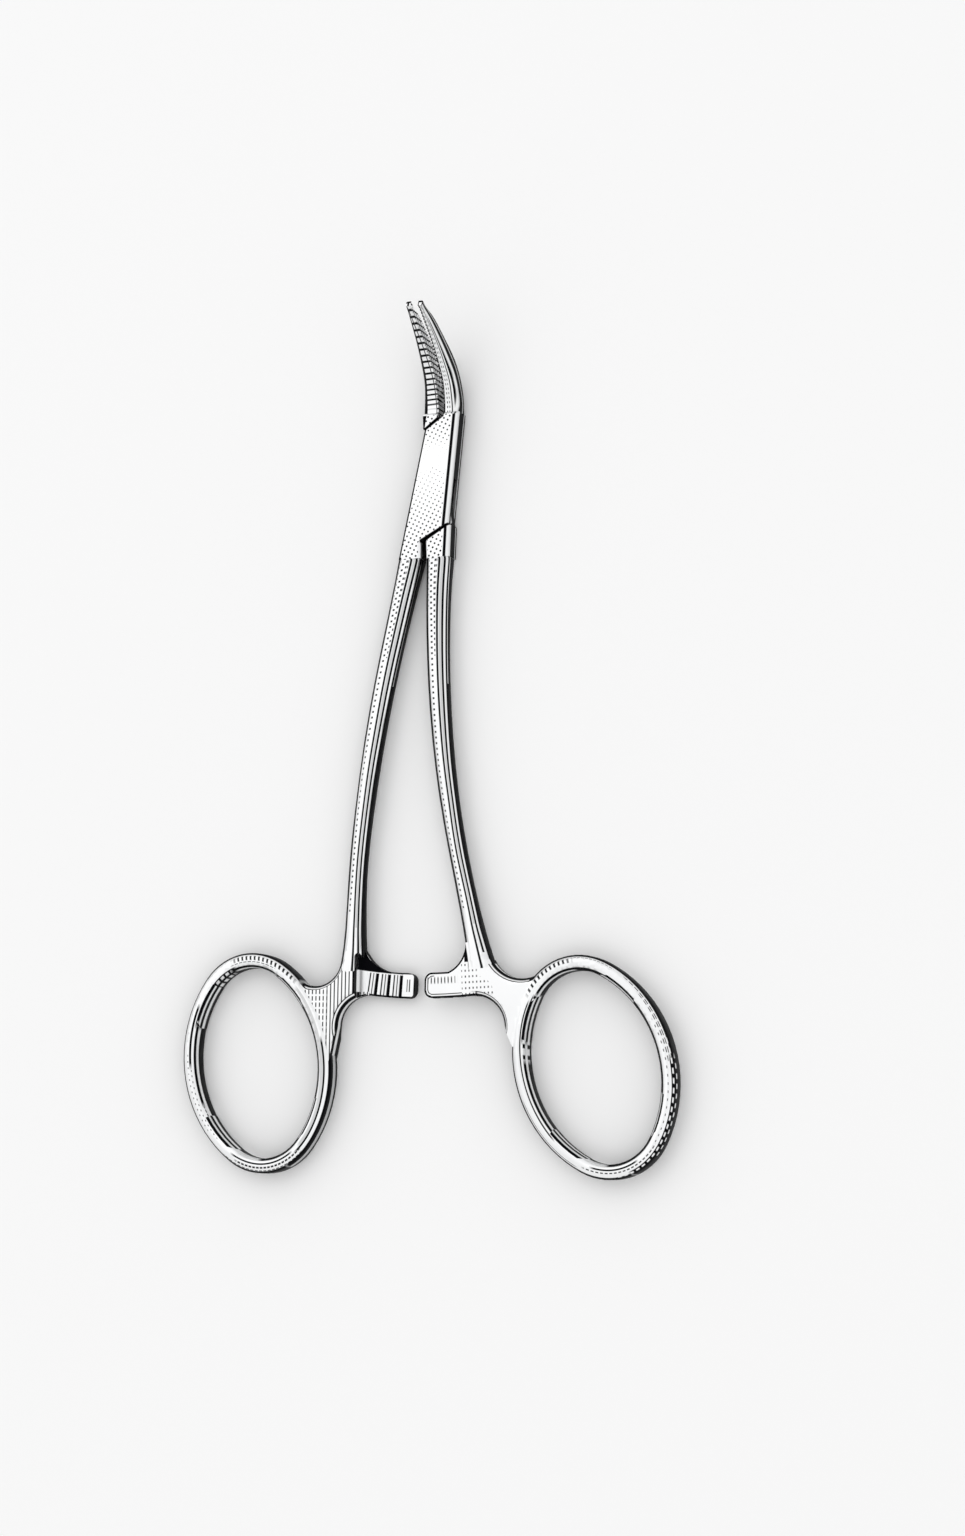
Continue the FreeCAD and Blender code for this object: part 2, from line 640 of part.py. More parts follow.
def ring(half, side):
    """Make one finger ring: a band with bevelled edges, swept round an oval of four arcs."""
    name = half.capitalize()
    body = new_body(f"{name}Ring")
    arcs = [
        ("XZ_Plane", 1, f"-{SIDE_ARC_OUT}", SIDE_RADIUS, f"2 * {SIDE_HALF_TURN}"),
        ("YZ_Plane", 1, END_ARC_OUT, "ring_end_radius", f"180 - 2 * {SIDE_HALF_TURN}"),
        ("XZ_Plane", -1, SIDE_ARC_OUT, SIDE_RADIUS, f"2 * {SIDE_HALF_TURN}"),
        ("YZ_Plane", -1, f"-{END_ARC_OUT}", "ring_end_radius", f"180 - 2 * {SIDE_HALF_TURN}"),
    ]
    for index, (plane, way, centre, radius, turn) in enumerate(arcs):
        sketch = sketch_on(body, f"{name}RingSection{index}", plane, {"x": centre, "y": RING_MIDDLE})
        middle = f"({way} * ({radius} + ring_band / 2))"
        revolve(body, bevelled_bar(sketch, middle, "ring_band", "ring_thickness", "ring_bevel"), turn)
    out, reach = ring_centre(half, side)
    bind(body, "Placement.Base.x", out)
    bind(body, "Placement.Base.y", reach)
    bind(body, "Placement.Rotation.Angle", f"{half}_ring_lean")
    return body


def on_ring(half, side, turn, out_of_hole):
    """Give a point of a ring, at a turn of its oval and a distance from its opening's edge."""
    across = f"((ring_hole_width / 2 + {out_of_hole}) * cos({turn}))"
    along = f"((ring_hole_length / 2 + {out_of_hole}) * sin({turn}))"
    lean = f"{half}_ring_lean"
    out, reach = ring_centre(half, side)
    x = f"({out} + {across} * cos({lean}) - {along} * sin({lean}))"
    y = f"({reach} + {across} * sin({lean}) + {along} * cos({lean}))"
    return x, y


def web(half, side):
    """Make the web that carries the shank into the ring, hollowed on both sides."""
    name = half.capitalize()
    centre_side = "right" if side < 0 else "left"
    valley = f"{half}_valley_turn"
    neck = f"{half}_neck_turn"

    def ring_point(share, out_of_hole):
        turn = f"({valley} + ({neck} - {valley}) * {share})"
        return on_ring(half, side, turn if side < 0 else f"(180 - {turn})", out_of_hole)

    neck_out = f"({half}_end_out + {half}_neck_step)"
    fillet_out = f"({neck_out} - under_arm_radius)"
    fillet_reach = f"sqrt({ARM_OUTER} ^ 2 - {fillet_out} ^ 2)"
    top = f"(-{END_REACH} + web_lap)"
    outer = f"{side} * ({half}_end_out + end_width / 2 - web_seat)"
    inner = f"{side} * ({half}_end_out - end_width / 2 + web_seat)"
    corners = [
        (outer, top, f"{half}_valley_bend", centre_side),
        ring_point("0", "(ring_band - web_seat)"),
        ring_point("1 / 3", "ring_band / 2"),
        ring_point("2 / 3", "ring_band / 2"),
        ring_point("1", "ring_band / 2"),
        ring_point("1", "(ring_band - web_seat)"),
        (f"{side} * {neck_out}", f"-{fillet_reach} - under_arm_radius", "45", centre_side),
        (f"{side} * {fillet_out}", f"-{fillet_reach}"),
        (inner, top),
    ]
    body = new_body(f"{name}Web")
    offset = {"z": f"{MIDDLE} - web_thickness / 2"}
    pad(body, outline(sketch_on(body, f"{name}WebOutline", "XY_Plane", offset), corners), "web_thickness")
    round_edges(body, f"{name}WebBevel", "web_bevel", hollow_edge, "Chamfer")
    return body


def hollow_edge(edge):
    """Tell whether an edge is a rounded hollow in a form's front or back face."""
    return on_face(edge) and isinstance(edge.Curve, Part.Circle)


def polar(side, radius, turn):
    """Give a point at a distance from the pin and a turn from the line below it."""
    return f"({side} * {radius} * sin({turn}))", f"(-{radius} * cos({turn}))"


def arm(half, side):
    """Make one ratchet arm, a sector round the pin with its row of teeth."""
    name = half.capitalize()
    body = new_body(f"{name}Arm")
    end = f"{half}_arm_end"
    flare = f"({end} + arm_flare_turn)"
    foot_out = f"{half}_foot_out"
    shank_edge = f"({side} * ({foot_out} - foot_width / 2 + web_seat))"
    root_turn = f"(asin({foot_out} / {ARM_OUTER}) / 1 deg)"
    inward, outward = ("right", "left") if side < 0 else ("left", "right")
    corners = [
        (*polar(side, ARM_INNER, end), "arm_flare_turn / 2", inward),
        (*polar(side, ARM_INNER, flare), "arm_flare_bend", inward),
        (shank_edge, f"-{FOOT_REACH}"),
        (f"{side} * {foot_out}", f"-{FOOT_REACH}"),
        (*polar(side, ARM_OUTER, root_turn), f"({root_turn} - {end}) / 2", outward),
        polar(side, ARM_OUTER, end),
    ]
    floor = "arm_floor" if side < 0 else MALE_CREST
    sketch = sketch_on(body, f"{name}ArmOutline", "XY_Plane", {"z": floor})
    pad(body, outline(sketch, corners), f"({FEMALE_CREST} - arm_floor)")

    def end_edge(edge):
        box = edge.BoundBox
        limit = number(f"{ARM_INNER} * sin({end}) + arm_depth / 2")
        return box.XLength < 1e-6 and box.YLength < 1e-6 and side * box.XMin < limit

    round_edges(body, f"{name}ArmEnd", "arm_end_round", end_edge)
    teeth(body, name, side, end)
    return body


def teeth(body, name, side, end):
    """Cut an arm's ratchet: each groove has an upright wall towards the free end and a long slope."""
    radius = f"(({ARM_INNER} + {ARM_OUTER}) / 2)"
    per_length = f"(180 / pi / {radius})"
    turn = f"({end} + tooth_end * {per_length})"
    crest = FEMALE_CREST if side < 0 else MALE_CREST
    run = "(tooth_pitch - tooth_crest)"
    place = {"x": f"{side} * {radius} * sin({turn})", "z": f"{radius} * cos({turn})"}
    sketch = sketch_on(body, f"{name}Tooth", "XZ_Plane", place, Vector(0, 1, 0), f"{side} * {turn}")
    outline(
        sketch,
        [
            ("0", f"{crest} + {side} * tooth_depth"),
            ("0", f"{crest} - {side} * tooth_depth"),
            (f"{side} * 2 * {run}", f"{crest} - {side} * tooth_depth"),
        ],
    )
    groove = pocket(body, sketch, "2 * arm_depth")
    axis = (origin_feature(body, "Z_Axis"), [""])
    repeat_round(body, groove, axis, f"tooth_pitch * {per_length}", "tooth_count", reverse=side < 0)


def relief_space():
    """Make the space over the female ratchet, which cuts the shank's foot back to the teeth's tops."""
    wall = "(female_foot_out - relief_step)"
    top = f"({ARM_INNER} - relief_rise)"
    shank_edge = "(female_foot_out - foot_width / 2)"
    corners = [
        (f"-{wall}", f"-{ARM_OUTER} - arm_depth"),
        ("0", f"-{ARM_OUTER} - arm_depth"),
        ("0", f"-{ARM_INNER} + arm_gap"),
        (f"-{shank_edge} + relief_shoulder / 2", f"-{ARM_INNER} + arm_gap"),
        (f"-{shank_edge}", f"-{ARM_INNER} + relief_shoulder"),
        (f"-{wall} + relief_corner", f"-{top}", "45", "left"),
        (f"-{wall}", f"-{top} - relief_corner"),
    ]
    body = new_body("ReliefSpace")
    sketch = sketch_on(body, "ReliefOutline", "XY_Plane", {"z": FEMALE_CREST})
    pad(body, outline(sketch, corners), "lock_thickness")
    return body


def tidy(label, shape_holder):
    """Give a sub-part its name."""
    shape_holder.Label = label
    return shape_holder


def place_jaw(body, face_out):
    """Set a jaw on the lock."""
    bind(body, "Placement.Base.x", face_out)
    bind(body, "Placement.Base.y", "jaw_base_reach")
    bind(body, "Placement.Base.z", MIDDLE)


def female_half():
    """Join the forms of the female half and cut its slot, its relief and its pin hole."""
    right_jaw = jaw("FemaleJaw", 1)
    place_jaw(right_jaw, "jaw_face_out")
    forms = [
        box_block(),
        shank("female", -1, "(-box_bottom_left + crotch_width / 2)"),
        ring("female", -1),
        web("female", -1),
        arm("female", -1),
        right_jaw,
    ]
    bore = pin_cylinder("FemaleBore", "pin_diameter / 2")
    spaces = join("FemaleSpaces", [slot_space(), relief_space(), bore])
    return tidy("female_half", cut("FemaleHalf", join("FemaleForging", forms), spaces))


def male_half():
    """Join the forms of the male half, cut its bore and open it to the rest pose."""
    left_jaw = jaw("MaleJaw", -1)
    place_jaw(left_jaw, MALE_JAW_FACE)
    bind(left_jaw, "Placement.Rotation.Angle", f"-atan(jaw_base_gap / {on_sweep(FULL_TURN)[0]})")
    forms = [
        shoulder_block(),
        tongue_block(),
        jaw_root_block(),
        left_jaw,
        shank("male", 1, MALE_CROTCH_OUT),
        ring("male", 1),
        web("male", 1),
        arm("male", 1),
    ]
    bore = pin_cylinder("MaleBore", "pin_diameter / 2 + pin_clearance")
    half = cut("MaleHalf", join("MaleForging", forms), bore)
    bind(half, "Placement.Rotation.Angle", "rest_opening")
    return tidy("male_half", half)


parts = [female_half(), male_half(), tidy("lock_pin", pin_cylinder("LockPin", "pin_diameter / 2"))]
document.recompute()
for thing in document.Objects:
    if {"Invalid", "Error"} & set(thing.State):
        raise RuntimeError(f"{thing.Name} failed: {thing.State}")
os.makedirs("parts", exist_ok=True)
for part in parts:
    if part.Shape.isNull() or not part.Shape.isValid() or len(part.Shape.Solids) != 1:
        raise RuntimeError(f"{part.Label} is not one valid solid")
    part.Shape.exportStep(f"parts/{part.Label}.step")
    box = part.Shape.BoundBox
    print(part.Label, "volume", round(part.Shape.Volume, 2))
    print("  from", [round(value, 2) for value in (box.XMin, box.YMin, box.ZMin)])
    print("  to", [round(value, 2) for value in (box.XMax, box.YMax, box.ZMax)])
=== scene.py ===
"""Studio scene of the endodontic forceps: pale polished steel with painted shade, painted reflections and
outlines drawn on it as dark lines.
"""

from __future__ import annotations

import logging
import math
from dataclasses import dataclass, field
from enum import Enum
from typing import Any, Callable, Protocol, Sequence

import bmesh
import bpy
from mathutils import Matrix, Vector


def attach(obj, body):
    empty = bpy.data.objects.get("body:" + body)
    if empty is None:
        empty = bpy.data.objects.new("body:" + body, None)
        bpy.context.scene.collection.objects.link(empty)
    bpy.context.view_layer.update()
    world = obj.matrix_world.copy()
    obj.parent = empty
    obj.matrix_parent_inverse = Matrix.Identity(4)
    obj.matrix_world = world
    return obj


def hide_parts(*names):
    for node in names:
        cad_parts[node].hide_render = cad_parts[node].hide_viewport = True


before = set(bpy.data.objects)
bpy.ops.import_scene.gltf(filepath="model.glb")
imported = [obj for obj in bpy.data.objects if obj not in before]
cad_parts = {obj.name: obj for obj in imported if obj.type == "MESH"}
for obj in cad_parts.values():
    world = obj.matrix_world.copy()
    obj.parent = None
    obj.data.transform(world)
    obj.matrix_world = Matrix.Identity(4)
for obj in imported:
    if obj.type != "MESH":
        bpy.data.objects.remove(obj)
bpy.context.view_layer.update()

log = logging.getLogger("forceps")

MM = 0.001
FACE_NORMAL = "face_normal"
RIM_DISTANCE = "rim_distance"
FAR_FROM_RIM = 9.0
LEVEL = 0.95
UPRIGHT = 0.3
MERGE_DISTANCE = 1e-7
DOT_PITCH = 0.64
DOT_LEAN = -28.0


class Side(Enum):
    """Side of the pin that a half's finger ring lies on."""

    LEFT = -1
    RIGHT = 1


class Term:
    """A number in a material's node tree that Python arithmetic turns into Math nodes."""

    def __init__(self, tree: Tree, socket: bpy.types.NodeSocket) -> None:
        """Wrap one output socket of a tree."""
        self.tree = tree
        self.socket = socket

    def math(self, operation: str, *others: Term | float) -> Term:
        """Add one Math node.

        Args:
            operation: The Math node's operation.
            others: Further operands, plain numbers or terms.

        Returns:
            The node's result.
        """
        inputs = dict(enumerate((self, *others)))
        return self.tree.add("ShaderNodeMath", {"operation": operation}, inputs)

    def __add__(self, other: Term | float) -> Term:
        """Add."""
        return self.math("ADD", other)

    __radd__ = __add__

    def __sub__(self, other: Term | float) -> Term:
        """Subtract."""
        return self.math("SUBTRACT", other)

    def __rsub__(self, other: float) -> Term:
        """Subtract from a plain number."""
        return self.tree.add("ShaderNodeMath", {"operation": "SUBTRACT"}, {0: other, 1: self})

    def __mul__(self, other: Term | float) -> Term:
        """Multiply."""
        return self.math("MULTIPLY", other)

    __rmul__ = __mul__

    def __truediv__(self, other: Term | float) -> Term:
        """Divide."""
        return self.math("DIVIDE", other)

    def __neg__(self) -> Term:
        """Change the sign."""
        return self.math("MULTIPLY", -1.0)

    def __abs__(self) -> Term:
        """Drop the sign."""
        return self.math("ABSOLUTE")

    def __or__(self, other: Term | float) -> Term:
        """Join two masks."""
        return self.math("MAXIMUM", other)

    def __and__(self, other: Term | float) -> Term:
        """Keep what two masks share."""
        return self.math("MINIMUM", other)

    def above(self, low: Term | float, soft: float = 0.05) -> Term:
        """Mask where the value is over a limit, with a soft start."""
        return ((self - low) / soft + 0.5).math("MINIMUM", 1.0).math("MAXIMUM", 0.0)

    def below(self, high: Term | float, soft: float = 0.05) -> Term:
        """Mask where the value is under a limit, with a soft end."""
        return 1.0 - self.above(high, soft)

    def between(self, low: float, high: float, soft: float = 0.05) -> Term:
        """Mask the range from low to high.

        Args:
            low: Start of the range.
            high: End of the range.
            soft: Width of its soft edges.

        Returns:
            1 within the range and 0 outside it.
        """
        return abs(self - (low + high) / 2).below((high - low) / 2, soft)

    def rows(self, pitch: float, width: float, soft: float = 0.05) -> Term:
        """Mask evenly spaced rows.

        Args:
            pitch: Distance from one row to the next.
            width: Width of a row.
            soft: Width of a row's soft edge.

        Returns:
            1 on the rows and 0 between them.
        """
        return self.math("PINGPONG", pitch / 2).below(width / 2, soft)

    def around(self, start: float, end: float, soft: float = 4.0) -> Term:
        """Mask a range of turns in degrees, also across the half turn.

        Args:
            start: Start of the range.
            end: End of the range.
            soft: Width of its soft edges.

        Returns:
            1 within the range and 0 outside it.
        """
        middle = (start + end) / 2
        return abs((self - middle).math("WRAP", 180.0, -180.0)).below((end - start) / 2, soft)


Covers = Callable[[Term, float, float], Term]


class Tree:
    """A node tree with one way to add nodes."""

    def __init__(self, owner: bpy.types.Material | bpy.types.World) -> None:
        """Start from the owner's own tree, emptied."""
        owner.use_nodes = True
        self.nodes = owner.node_tree.nodes
        self.links = owner.node_tree.links
        self.nodes.clear()

    def node(self, kind: str, settings: dict[str, Any], inputs: dict[Any, Any]) -> bpy.types.Node:
        """Add one node.

        Args:
            kind: The node's type.
            settings: Its own settings. curve is a Float Curve's list of points.
            inputs: Values or links of its sockets, by name or place.

        Returns:
            The node.
        """
        made = self.nodes.new(kind)
        for name, value in settings.items():
            if name == "curve":
                self.shape_curve(made, value)
            else:
                setattr(made, name, value)
        for name, value in inputs.items():
            if isinstance(value, Term):
                self.links.new(value.socket, made.inputs[name])
            elif isinstance(value, bpy.types.NodeSocket):
                self.links.new(value, made.inputs[name])
            else:
                made.inputs[name].default_value = value
        return made

    def shape_curve(self, made: bpy.types.Node, places: list[tuple[float, float]]) -> None:
        """Put a Float Curve's points at their places.

        Args:
            made: The Float Curve node.
            places: Its (along, height) places, each from 0 to 1.
        """
        curve = made.mapping.curves[0]
        while len(curve.points) < len(places):
            curve.points.new(0.5, 0.5)
        for point, place in zip(curve.points, places):
            point.location = place
        made.mapping.update()

    def add(self, kind: str, settings: dict[str, Any], inputs: dict[Any, Any]) -> Term:
        """Add one node and wrap its first output."""
        return Term(self, self.node(kind, settings, inputs).outputs[0])

    def split(self, vector: bpy.types.NodeSocket) -> tuple[Term, Term, Term]:
        """Split a vector into its three numbers."""
        made = self.node("ShaderNodeSeparateXYZ", {}, {0: vector})
        return Term(self, made.outputs[0]), Term(self, made.outputs[1]), Term(self, made.outputs[2])

    def curve(self, along: Term, places: Sequence[tuple[float, float]]) -> Term:
        """Read a smooth curve through places.

        Args:
            along: Where to read it.
            places: Its (along, height) places in their real sizes.

        Returns:
            The curve's height.
        """
        starts = [place[0] for place in places]
        heights = [place[1] for place in places]
        low, span = min(heights), max(heights) - min(heights) or 1.0
        length = max(starts) - min(starts)
        points = sorted(((place[0] - min(starts)) / length, (place[1] - low) / span) for place in places)
        share = (along - min(starts)) / length
        return self.add("ShaderNodeFloatCurve", {"curve": points}, {1: share}) * span + low


@dataclass(frozen=True)
class Spot:
    """A place on a half in millimetres, in the closed half's own frame, and its face's direction."""

    x: Term
    y: Term
    z: Term
    right: Term
    up: Term
    front: Term
    rim: Term

    @classmethod
    def of(cls, tree: Tree, turned: float) -> Spot:
        """Read the place and the face's direction.

        Args:
            tree: The material's tree.
            turned: How far the half is turned open at rest, in degrees.

        Returns:
            The spot.
        """
        places = tree.node("ShaderNodeTexCoord", {}, {})
        turn = {"Rotation": (0.0, 0.0, math.radians(-turned))}
        scale = {"Scale": (1 / MM, 1 / MM, 1 / MM)}
        closed = tree.node("ShaderNodeMapping", {}, {0: places.outputs["Object"], **turn, **scale})
        stored = tree.node("ShaderNodeAttribute", {"attribute_name": FACE_NORMAL}, {})
        direction = tree.node("ShaderNodeMapping", {}, {0: stored.outputs["Vector"], **turn})
        rim = tree.node("ShaderNodeAttribute", {"attribute_name": RIM_DISTANCE}, {}).outputs["Fac"]
        return cls(*tree.split(closed.outputs[0]), *tree.split(direction.outputs[0]), Term(tree, rim))

    def dots(self, pitch: float, lean: float, radius: Term | float) -> Term:
        """Mask a field of stipple dots of painted shade in rows.

        Args:
            pitch: Distance from one dot to the next.
            lean: Turn of the rows in degrees.
            radius: Radius of a dot.

        Returns:
            1 on the dots.
        """
        cosine, sine = math.cos(math.radians(lean)), math.sin(math.radians(lean))
        across = (self.x * cosine + self.y * sine).math("PINGPONG", pitch / 2)
        along = (self.y * cosine - self.x * sine).math("PINGPONG", pitch / 2)
        return (across * across + along * along).math("SQRT").below(radius, 0.06)


class Region(Protocol):
    """A stretch of a half that has a drawing of its own."""

    def holds(self, corners: list[Vector], normal: Vector) -> bool:
        """Tell whether a face, by its corners and its normal, belongs to the region."""

    def draw(self, tree: Tree, spot: Spot) -> Term:
        """Draw the region's painted shade, painted reflections and outlines in a material's tree, at a
        place on the half.
        """


@dataclass(frozen=True)
class SteelWithPaintedShade:
    """Pale polished steel with painted shade, painted reflections and outlines drawn as dark lines on it.
    """

    steel: tuple[float, float, float, float] = (0.84, 0.845, 0.85, 1.0)
    worn: tuple[float, float, float, float] = (0.72, 0.725, 0.735, 1.0)
    # Near-black colour of the painted shade, painted reflections and outlines.
    shade_and_outline_ink: tuple[float, float, float, float] = (0.004, 0.004, 0.005, 1.0)
    roughness: float = 0.3
    shade_ink_roughness: float = 0.6
    wear_scale: float = 90.0
    wear_detail: float = 3.0
    wear_middle: float = 0.62
    wear_blend: float = 0.3
    wear_share: float = 0.35
    wear_roughness: float = 0.2
    polish_scale: float = 5200.0
    polish_detail: float = 2.0
    polish_strength: float = 0.4
    polish_height: float = 0.000004

    def material(self, name: str, turned: float, draw: Callable[[Tree, Spot], Term]) -> bpy.types.Material:
        """Make the steel with one region's painted shade, painted reflections and outlines on it.

        Args:
            name: The material's name.
            turned: How far the half is turned open at rest, in degrees.
            draw: The region's drawing, which gives the mask of its painted shade, painted reflections and
                outlines.

        Returns:
            The material.
        """
        made = bpy.data.materials.new(name)
        tree = Tree(made)
        shade_and_outline_ink = draw(tree, Spot.of(tree, turned))
        places = tree.node("ShaderNodeTexCoord", {}, {}).outputs["Object"]
        noise = {"Vector": places, "Scale": self.wear_scale, "Detail": self.wear_detail}
        wear = tree.add("ShaderNodeTexNoise", {}, noise)
        noise = {"Vector": places, "Scale": self.polish_scale, "Detail": self.polish_detail}
        polish = tree.add("ShaderNodeTexNoise", {}, noise)
        rubbed = wear.above(self.wear_middle, self.wear_blend) * self.wear_share
        mix = {"data_type": "RGBA"}
        body = tree.node("ShaderNodeMix", mix, {0: rubbed, 6: self.steel, 7: self.worn})
        # Paint the shade, the dark reflections and the outlines over the steel in near-black; the random
        # wear tone is the steel's own.
        colour = tree.node("ShaderNodeMix", mix, {0: shade_and_outline_ink, 6: body.outputs[2], 7: self.shade_and_outline_ink})
        relief = {"Strength": self.polish_strength, "Distance": self.polish_height, "Height": polish}
        bump = tree.node("ShaderNodeBump", {}, relief)
        rubbed_roughness = rubbed * self.wear_roughness + self.roughness
        inputs = {
            "Base Color": colour.outputs[2],
            "Metallic": 1.0,
            "Roughness": rubbed_roughness + shade_and_outline_ink * (self.shade_ink_roughness - self.roughness),
            "Normal": bump.outputs[0],
        }
        shader = tree.node("ShaderNodeBsdfPrincipled", {}, inputs)
        tree.node("ShaderNodeOutputMaterial", {}, {0: shader.outputs[0]})
        return made


def share(low: float, high: float, part: float) -> float:
    """Go a part of the way from one number to another."""
    return low + (high - low) * part


@dataclass(frozen=True)
class Bar:
    """Height and bevel of a bar whose middle lies in one plane."""

    middle: float
    thickness: float
    bevel: float

    def drop(self, z: Term) -> Term:
        """Measure how far a place has dropped from the nearer flat.

        Args:
            z: Height of the place.

        Returns:
            The distance below the front face, and on the under bevel the distance from the back face.
        """
        back = self.middle - self.thickness / 2
        top = self.middle + self.thickness / 2
        upper = z.above(back + self.bevel, 0.01)
        return (top - z) * upper + (z - back) * (1.0 - upper)


@dataclass(frozen=True)
class Stroke:
    """One dark line of painted shade, painted reflection or outline that runs along a bar.

    It fills the bar from low to high across and from start to end along. With a dash it is broken into
    pieces that far apart, painted over that share of it and shifted by the phase. Its strength is how dark
    its painted shade is.
    """

    low: float
    high: float
    start: float
    end: float
    dash: float = 0.0
    painted_share: float = 0.5
    strength: float = 1.0
    phase: float = 0.0

    def draw(self, across: Term, along: Term, covers: Covers) -> Term:
        """Mask the stroke.

        Args:
            across: Place across the bar, along its surface.
            along: Place along the bar.
            covers: The mask of a stretch along the bar.

        Returns:
            The stroke's painted shade or outline.
        """
        mask = across.between(self.low, self.high, 0.06) & covers(along, self.start, self.end)
        if self.dash:
            mask = mask & (along + self.phase).rows(self.dash, self.dash * self.painted_share, self.dash * 0.12)
        return mask * self.strength


def drawn(strokes: list[Stroke], across: Term, along: Term, covers: Covers) -> Term:
    """Join strokes into one mask.

    Args:
        strokes: At least one stroke.
        across: Place across the bar, along its surface.
        along: Place along the bar.
        covers: The mask of a stretch along the bar.

    Returns:
        The painted shade, painted reflections and outlines of all the strokes.
    """
    masks = [stroke.draw(across, along, covers) for stroke in strokes]
    joined = masks[0]
    for mask in masks[1:]:
        joined = joined | mask
    return joined


@dataclass(frozen=True)
class Ring:
    """A finger ring: an oval band with bevelled edges."""

    centre: tuple[float, float]
    lean: float
    # The strokes are dark bands of painted shade and painted reflection, and outlines; the lights are
    # painted highlights cut out of them; the last tuple gives start, end and pitch of cross hatching of
    # painted shade.
    strokes: list[Stroke]
    lights: list[Stroke]
    shade_hatch: tuple[float, float, float]
    hole_width: float = 18.4
    hole_length: float = 26.9
    band: float = 2.05
    bar: Bar = Bar(1.7, 3.4, 0.6)
    slack: float = 0.07

    def place(self, x: float, y: float) -> tuple[float, float]:
        """Turn a place into the ring's own upright frame.

        Args:
            x: The place in the closed half's frame.
            y: The same.

        Returns:
            The place across and along the ring.
        """
        cosine, sine = math.cos(math.radians(self.lean)), math.sin(math.radians(self.lean))
        out, along = x - self.centre[0], y - self.centre[1]
        return out * cosine + along * sine, along * cosine - out * sine

    def beyond_hole(self, x: float, y: float) -> float:
        """Measure a place from the hole's edge.

        Args:
            x: The place in the closed half's frame.
            y: The same.

        Returns:
            The distance, outward.
        """
        across, along = self.place(x, y)
        radius = math.hypot(across, along)
        return radius - radius / math.hypot(across * 2 / self.hole_width, along * 2 / self.hole_length)

    def holds(self, corners: list[Vector], normal: Vector) -> bool:
        """Tell whether a face belongs to the band.

        Args:
            corners: The face's corners in the closed half's frame.
            normal: The face's normal.

        Returns:
            Whether it does.
        """
        places = [self.beyond_hole(corner.x, corner.y) for corner in corners]
        flat_web = abs(normal.z) > 0.99 and max(corner.z for corner in corners) < self.bar.thickness - 0.05
        on_back = max(corner.z for corner in corners) < 0.01
        within = all(-3 * self.slack < place < self.band + 6 * self.slack for place in places)
        return within and (on_back or not flat_web)

    def draw(self, tree: Tree, spot: Spot) -> Term:
        """Draw the band's painted shade and painted reflections as lines, dashes and short cross strokes,
        with painted highlights left light.

        Args:
            tree: The material's tree; not used here.
            spot: The place on the half.

        Returns:
            The region's painted shade, painted reflections and outlines.
        """
        cosine, sine = math.cos(math.radians(self.lean)), math.sin(math.radians(self.lean))
        out, up = spot.x - self.centre[0], spot.y - self.centre[1]
        across, along = out * cosine + up * sine, up * cosine - out * sine
        radius = (across * across + along * along).math("SQRT")
        wide, long = across * (2 / self.hole_width), along * (2 / self.hole_length)
        beyond = radius - radius / (wide * wide + long * long).math("SQRT")
        turn = long.math("ARCTAN2", wide) * (180 / math.pi)
        from_middle = beyond - self.band / 2
        surface = from_middle + from_middle.math("SIGN") * self.bar.drop(spot.z)
        # Dark strokes of painted shade and painted reflection, with the painted highlights cut out of them.
        shade_and_outline_ink = drawn(self.strokes, surface, turn, Term.around)
        shade_and_outline_ink = shade_and_outline_ink & (1.0 - drawn(self.lights, surface, turn, Term.around))
        # Short cross strokes of painted shade hatching on part of the band.
        start, end, pitch = self.shade_hatch
        strokes = turn.around(start, end, 6.0) & turn.rows(pitch, pitch * 0.42, pitch * 0.15)
        return shade_and_outline_ink | (strokes & surface.between(0.0, 0.75, 0.12))


